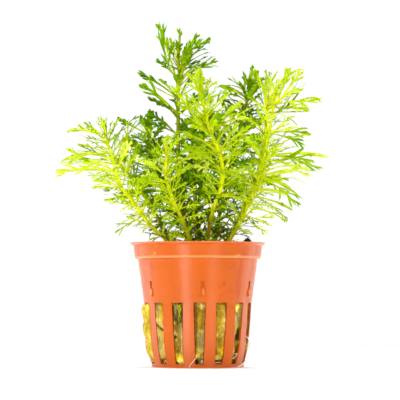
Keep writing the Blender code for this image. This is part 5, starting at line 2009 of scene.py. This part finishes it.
    def single(self, lone: Lone) -> None:
        """Grow a leaf that stands alone.

        Args:
            lone: the leaf.
        """
        place, axis, radius = self.shoot.at(lone.height)
        centre = self.on_line(place, axis)
        tip = seen_at(lone.right * MM, place.y - lone.forward * MM, lone.up * MM)
        out = (tip - centre) - axis * (tip - centre).dot(axis)
        root = centre + out.normalized() * radius
        leaf = LeafLine(root, tip, axis, self.dice.uniform(-0.6, 0.6), lone.arch)
        tone = self.shoot.tone + lone.lighter + self.dice.uniform(-0.06, 0.06)
        self.grow(leaf, centre, lone.cut, tone, lone.slim)

    def on_line(self, place: Vector, axis: Vector) -> Vector:
        """Return the point of the stem's smooth line beside a place of its straight one."""
        near = min(self.shoot.line(), key=lambda point: (point - place).length)
        return near + axis * (place - near).dot(axis)

    def joint(self, place: Vector, axis: Vector, radius: float, tone: float) -> None:
        """Add the swollen joint round the stem.

        Args:
            place: its middle.
            axis: the stem's direction.
            radius: the stem's radius.
            tone: of its skin.
        """
        shares = np.linspace(-1, 1, 9)
        line = [place + axis * share * 1.3 * MM for share in shares]
        radii = [radius * (0.8 + 0.26 * (1 - share * share)) for share in shares]
        self.stock.tube(line, radii, 14, np.array((tone, 0.8, 0.0)))

    def build(self, finish: bpy.types.Material) -> bpy.types.Object:
        """Build the leaves of all whorls and dress them.

        Args:
            finish: the leaf tissue.

        Returns:
            The piece.
        """
        shoot, dice = self.shoot, self.dice
        last = len(shoot.whorls) - 1
        nodes = []
        for number, height in enumerate(shoot.whorls):
            place, axis, radius = shoot.at(height)
            centre = self.on_line(place, axis)
            share = number / last
            tone = shoot.tone + 0.10 * (share - 0.5)
            leaves = [replace(leaf, bow=dice.uniform(-0.13, 0.13)) for leaf in shoot.leaves(number)]
            leaves.sort(key=lambda leaf: self.bearing(leaf, place, axis))
            for leaf in leaves:
                cut = shoot.cuts[1] if dice.random() < share else shoot.cuts[0]
                outer = self.outer(leaf)
                if dice.random() < outer:
                    cut = dice.choice((FORK, FORK, STRAP))
                slim = mix(1.0, 0.88, outer) * mix(1.0, 0.62, self.below(leaf, self.HANGING))
                self.grow(leaf, centre, cut, self.painted_light_tone(leaf, tone), slim)
            pairs = list(zip(leaves, leaves[1:] + leaves[:1]))
            dice.shuffle(pairs)
            for first, second in pairs[: shoot.between]:
                young = self.young(first, second, place)
                cut = shoot.cuts[1] if dice.random() < share else shoot.cuts[0]
                outer = self.outer(young)
                if dice.random() < outer:
                    cut = FORK
                self.grow(young, centre, cut, self.painted_light_tone(young, tone + 0.05), mix(0.95, 0.78, outer))
            self.joint(centre, axis, radius, tone)
            nodes.append(shoot.node(number))
        for height, length in shoot.fillers:
            self.filler(height, length)
        for row in shoot.singles:
            self.single(Lone(*row))
        self.tuft()
        foliage = self.stock.to_object(f"leaves_{shoot.name}", finish)
        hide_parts(*nodes)
        return foliage

    def bearing(self, leaf: LeafLine, place: Vector, axis: Vector) -> float:
        """Work out on which side of the stem a leaf grows.

        Args:
            leaf: its line.
            place: the middle of its whorl.
            axis: the stem's direction.

        Returns:
            The angle round the stem.
        """
        start = axis.orthogonal().normalized()
        off = leaf.root - place
        return math.atan2(off.dot(axis.cross(start)), off.dot(start))

    def outer(self, leaf: LeafLine) -> float:
        """Return how far out in the bunch a leaf's tip is, 0 to 1."""
        aside, up = abs(leaf.tip.x), leaf.tip.z
        return max(smooth_step(*self.OUTSIDE, aside), smooth_step(*self.ON_TOP, up), self.below(leaf, self.LOW))

    def below(self, leaf: LeafLine, limits: tuple[tuple[float, float], tuple[float, float]]) -> float:
        """Return how far below the heights and beyond the widths of the limits a leaf's tip is, 0 to 1."""
        return smooth_step(*limits[0], leaf.tip.z) * smooth_step(*limits[1], abs(leaf.tip.x))

    def painted_light_tone(self, leaf: LeafLine, tone: float) -> float:
        """Give a leaf its tone: painted shade darkens it far behind and in the middle of the bunch, painted highlight
        pales it at the far sides and on some leaves at random, and a random drift varies it.

        Args:
            leaf: its line.
            tone: what it would have in the open.

        Returns:
            Its tone.
        """
        tip, outer = leaf.tip, self.outer(leaf)
        # How deep in the bunch and how far back the tip lies, for the painted shade.
        inside = 1.0 - min(1.0, math.hypot(tip.x / (42 * MM), (tip.z - 85 * MM) / (48 * MM)))
        behind = smooth_step(-5 * MM, 30 * MM, tip.y)
        # Painted highlight that pales the leaves at the far sides.
        highlight_and_tone = 0.18 * smooth_step(42 * MM, 56 * MM, abs(tip.x))
        chance = self.dice.random()
        # Some leaves get a painted sheen. Others get a darker tone at random.
        if chance < 0.14:
            highlight_and_tone += 0.24 * (1 - behind)
        elif chance > 0.82:
            highlight_and_tone -= 0.24 * (1 - 0.6 * outer)
        drift = self.dice.uniform(mix(-0.26, -0.12, outer), 0.13)
        return max(0.24, tone + (highlight_and_tone - 0.10 * inside * behind - 0.08 * behind + drift))

    def tuft(self) -> None:
        """Grow the small crowded leaves at the shoot's tip."""
        line = self.shoot.line()
        tip = line[-1]
        axis = (tip - line[-3]).normalized()
        start = axis.orthogonal().normalized()
        count = self.tuft_leaves
        for number in range(count):
            out = Quaternion(axis, number * 2.4) @ start
            lean = self.dice.uniform(0.15, 0.65)
            root = tip - axis * (0.4 + 0.25 * (count - number) / count) * MM + out * 0.35 * MM
            way = (axis * math.cos(lean) + out * math.sin(lean)).normalized()
            length = self.dice.uniform(3.0, 5.8) * MM
            leaf = LeafLine(root, root + way * length, axis, self.dice.uniform(-0.6, 0.6))
            self.grow(leaf, tip - axis * MM, self.shoot.cuts[1], self.painted_light_tone(leaf, self.shoot.tone + 0.12), 0.6)


@dataclass
class Stem:
    """One stem, ribbed and a little thicker below each joint, browned at its foot."""

    shoot: Shoot
    sides: int = 12
    browned: tuple[float, float] = (55.0, 69.0)  # heights in millimetres between which the brown fades
    slimmer: float = 0.9  # thickness, against the solid's

    def build(self, finish: bpy.types.Material) -> bpy.types.Object:
        """Build the stem and dress it.

        Args:
            finish: its skin.

        Returns:
            The piece.
        """
        shoot = self.shoot
        line = shoot.line()
        low, high, foot = line[0].z, line[-1].z, shoot.points()[0].z
        thick, thin = (radius * MM for radius in shoot.radius)
        radii, paint = [], []
        for point in line:
            share = max(0.0, (point.z - foot) / (high - foot))
            wave = 1.0 + 0.04 * math.sin(point.z / MM * 0.9 + len(shoot.name))
            radii.append(mix(thick, thin, share) * wave * self.slimmer)
            brown = smooth_step(self.browned[1] * MM, self.browned[0] * MM, point.z) * shoot.browned
            skin = shoot.skin + 0.12 * share + 0.10 * smooth_step(0.75, 0.95, share) - 0.5 * brown
            paint.append((skin, brown, (point.z - low) / (high - low)))
        stock = MeshStock()
        stock.tube(line, radii, self.sides, np.array(paint))
        stem = stock.to_object(f"stalk_{shoot.name}", finish)
        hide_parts(f"stem_{shoot.name}")
        return stem


@dataclass
class Runners:
    """Thin brown side shoots between the feet of the stems, as the viewer sees them, in millimetres."""

    routes: tuple[tuple[Spot, ...], ...] = (
        ((-2.0, 2.0, 44), (-4.6, -4.0, 58), (-6.0, -6.0, 66.8), (-3.4, -4.0, 66.2), (-0.6, 2.0, 63.0)),
        ((5.0, -5.0, 44), (8.2, -9.0, 53), (12.6, -12.0, 59.5), (14.0, -12.0, 62.5)),
        ((0.4, -3.0, 44), (-0.8, -5.0, 52), (-1.4, -5.0, 60), (-2.0, -3.0, 66)),
        ((-3.4, -5.0, 44), (-5.0, -9.0, 51), (-4.2, -11.0, 58), (-6.5, -14.0, 62)),
        ((6.6, 0.0, 44), (9.0, 1.0, 52), (10.2, 1.0, 57), (13.5, -2.0, 58)),
        ((-8.0, -5.0, 44), (-12.0, -8.0, 51.6), (-16.6, -9.5, 53.6), (-21.6, -11.0, 54.6)),
        ((2.0, 6.0, 44), (3.6, 8.0, 54), (1.8, 9.0, 62), (2.2, 8.0, 67)),
    )
    radius: float = 0.30 * MM
    end: float = 0.6  # thickness at the end, against the start

    def build(self, finish: bpy.types.Material) -> bpy.types.Object:
        """Build the runners and dress them.

        Args:
            finish: their skin.

        Returns:
            The piece.
        """
        stock = MeshStock()
        for number, route in enumerate(self.routes):
            line = smooth_line(seen_route(route), 8)
            radii = [self.radius * mix(1.0, self.end, step / len(line)) for step in range(len(line))]
            stock.tube(line, radii, 7, np.array((0.25 + 0.05 * (number % 3), 0.95, 0.0)))
        runners = stock.to_object("brown_runners", finish)
        return runners


# ---- Studio


@dataclass(frozen=True)
class Light:
    """A soft light that hangs at a place and faces another."""

    name: str
    place: Spot
    size: tuple[float, float]  # width and height
    power: float  # watts
    target: Spot = (0.0, 0.0, 0.07)
    spread: float = 180.0  # degrees that it lights

    def hang(self) -> None:
        """Put the light in the scene."""
        lamp = bpy.data.lights.new(self.name, "AREA")
        lamp.shape = "RECTANGLE"
        lamp.size, lamp.size_y = self.size
        lamp.energy = self.power
        lamp.spread = math.radians(self.spread)
        thing = in_scene(self.name, lamp)
        thing.location = self.place
        thing.rotation_euler = (Vector(self.target) - Vector(self.place)).to_track_quat("-Z", "Y").to_euler()


@dataclass
class Studio:
    """The pale floor, the soft lights and the camera."""

    picture_width: float = 163 * MM  # of the upright middle plane that the picture takes in
    picture_middle: tuple[float, float] = (0.9 * MM, 67.8 * MM)
    sensor: float = 36.0
    floor_radius: float = 0.5
    fade: tuple[float, float] = (-0.7, 0.55)  # between which directions, from front to back, the backdrop sets in
    behind: float = 1.05  # brightness of the backdrop
    before: float = 0.13  # and of the room in front
    lights: tuple[Light, ...] = (
        Light("key_left", (-0.62, -1.35, 0.20), (0.40, 0.46), 14.0),
        Light("key_right", (0.75, -1.30, 0.20), (0.24, 0.46), 5.0),
        Light("top", (0.0, 0.1, 1.3), (0.9, 0.9), 6.5),
        Light("rim", (-1.10, 0.50, 0.24), (0.5, 0.4), 2.5),
        Light("rim", (1.10, 0.50, 0.24), (0.5, 0.4), 2.5),
        Light("pool", (-0.16, 0.02, 0.6), (0.12, 0.3), 0.36, (-0.16, 0.02, 0.0), 50.0),
        Light("pool", (0.16, 0.02, 0.6), (0.12, 0.3), 0.36, (0.16, 0.02, 0.0), 50.0),
    )

    def build(self, finish: FloorFinish) -> None:
        """Set up the studio round the plant.

        Args:
            finish: of the floor.
        """
        scene = bpy.context.scene
        bm = bmesh.new()
        bmesh.ops.create_circle(bm, cap_ends=True, segments=96, radius=self.floor_radius)
        mesh = finished("studio_floor", bm)
        mesh.materials.append(finish.material())
        floor = in_scene("studio_floor", mesh)
        floor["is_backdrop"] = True

        world = bpy.data.worlds.new("studio")
        world.use_nodes = True
        tree = world.node_tree
        heading = tree.nodes.new("ShaderNodeTexCoord")
        split = tree.nodes.new("ShaderNodeSeparateXYZ")
        spread = tree.nodes.new("ShaderNodeMapRange")
        spread.interpolation_type = "SMOOTHSTEP"
        limits = (*self.fade, self.before, self.behind)
        for name, value in zip(("From Min", "From Max", "To Min", "To Max"), limits):
            spread.inputs[name].default_value = value
        background = tree.nodes["Background"]
        background.inputs["Color"].default_value = (1.0, 1.0, 1.0, 1.0)
        tree.links.new(heading.outputs["Generated"], split.inputs[0])
        tree.links.new(split.outputs["Y"], spread.inputs["Value"])
        tree.links.new(spread.outputs["Result"], background.inputs["Strength"])
        scene.world = world
        scene.view_settings.view_transform = "Standard"

        for light in self.lights:
            light.hang()

        camera = bpy.data.cameras.new("camera")
        camera.sensor_width = self.sensor
        middle, height = self.picture_middle
        tilt = math.atan2(height - EYE_HEIGHT, VIEW_DISTANCE)
        camera.lens = self.sensor * VIEW_DISTANCE / math.cos(tilt) / self.picture_width
        camera.clip_start = 0.01
        view = in_scene("camera", camera)
        view.location = (middle, -VIEW_DISTANCE, EYE_HEIGHT)
        view.rotation_euler = (math.pi / 2 + tilt, 0.0, 0.0)
        scene.camera = view


# ---- Whole plant


def report(piece: bpy.types.Object) -> None:
    """Let a piece ride on the plant's body and log its size.

    Args:
        piece: the piece.
    """
    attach(piece, "root")
    faces = sum(len(face.vertices) - 2 for face in piece.data.polygons)
    LOG.info("%s: %d triangles before its modifiers", piece.name, faces)


def corners(box: tuple[Vector, Vector]) -> list[list[float]]:
    """Return a box's corners as plain lists."""
    return [list(corner) for corner in box]


def main() -> None:
    """Build the pot, the wool, the roots, the stems, the leaves and the studio."""
    logging.basicConfig(level=logging.INFO, format="%(name)s: %(message)s")
    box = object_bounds()
    pot = NetPot()
    report(pot.build(PlasticFinish()))
    report(MineralWool(pot).build(WoolFinish()))
    report(Roots().build(RootFinish()))
    stem_skin = StemFinish().material()
    leaf_tissue = LeafFinish().material()
    dice = random.Random(7)
    for shoot in SHOOTS:
        report(Stem(shoot).build(stem_skin))
        report(Foliage(shoot, dice, box).build(leaf_tissue))
    report(Runners().build(stem_skin))
    Studio().build(FloorFinish())


if __name__ == "__main__":
    main()
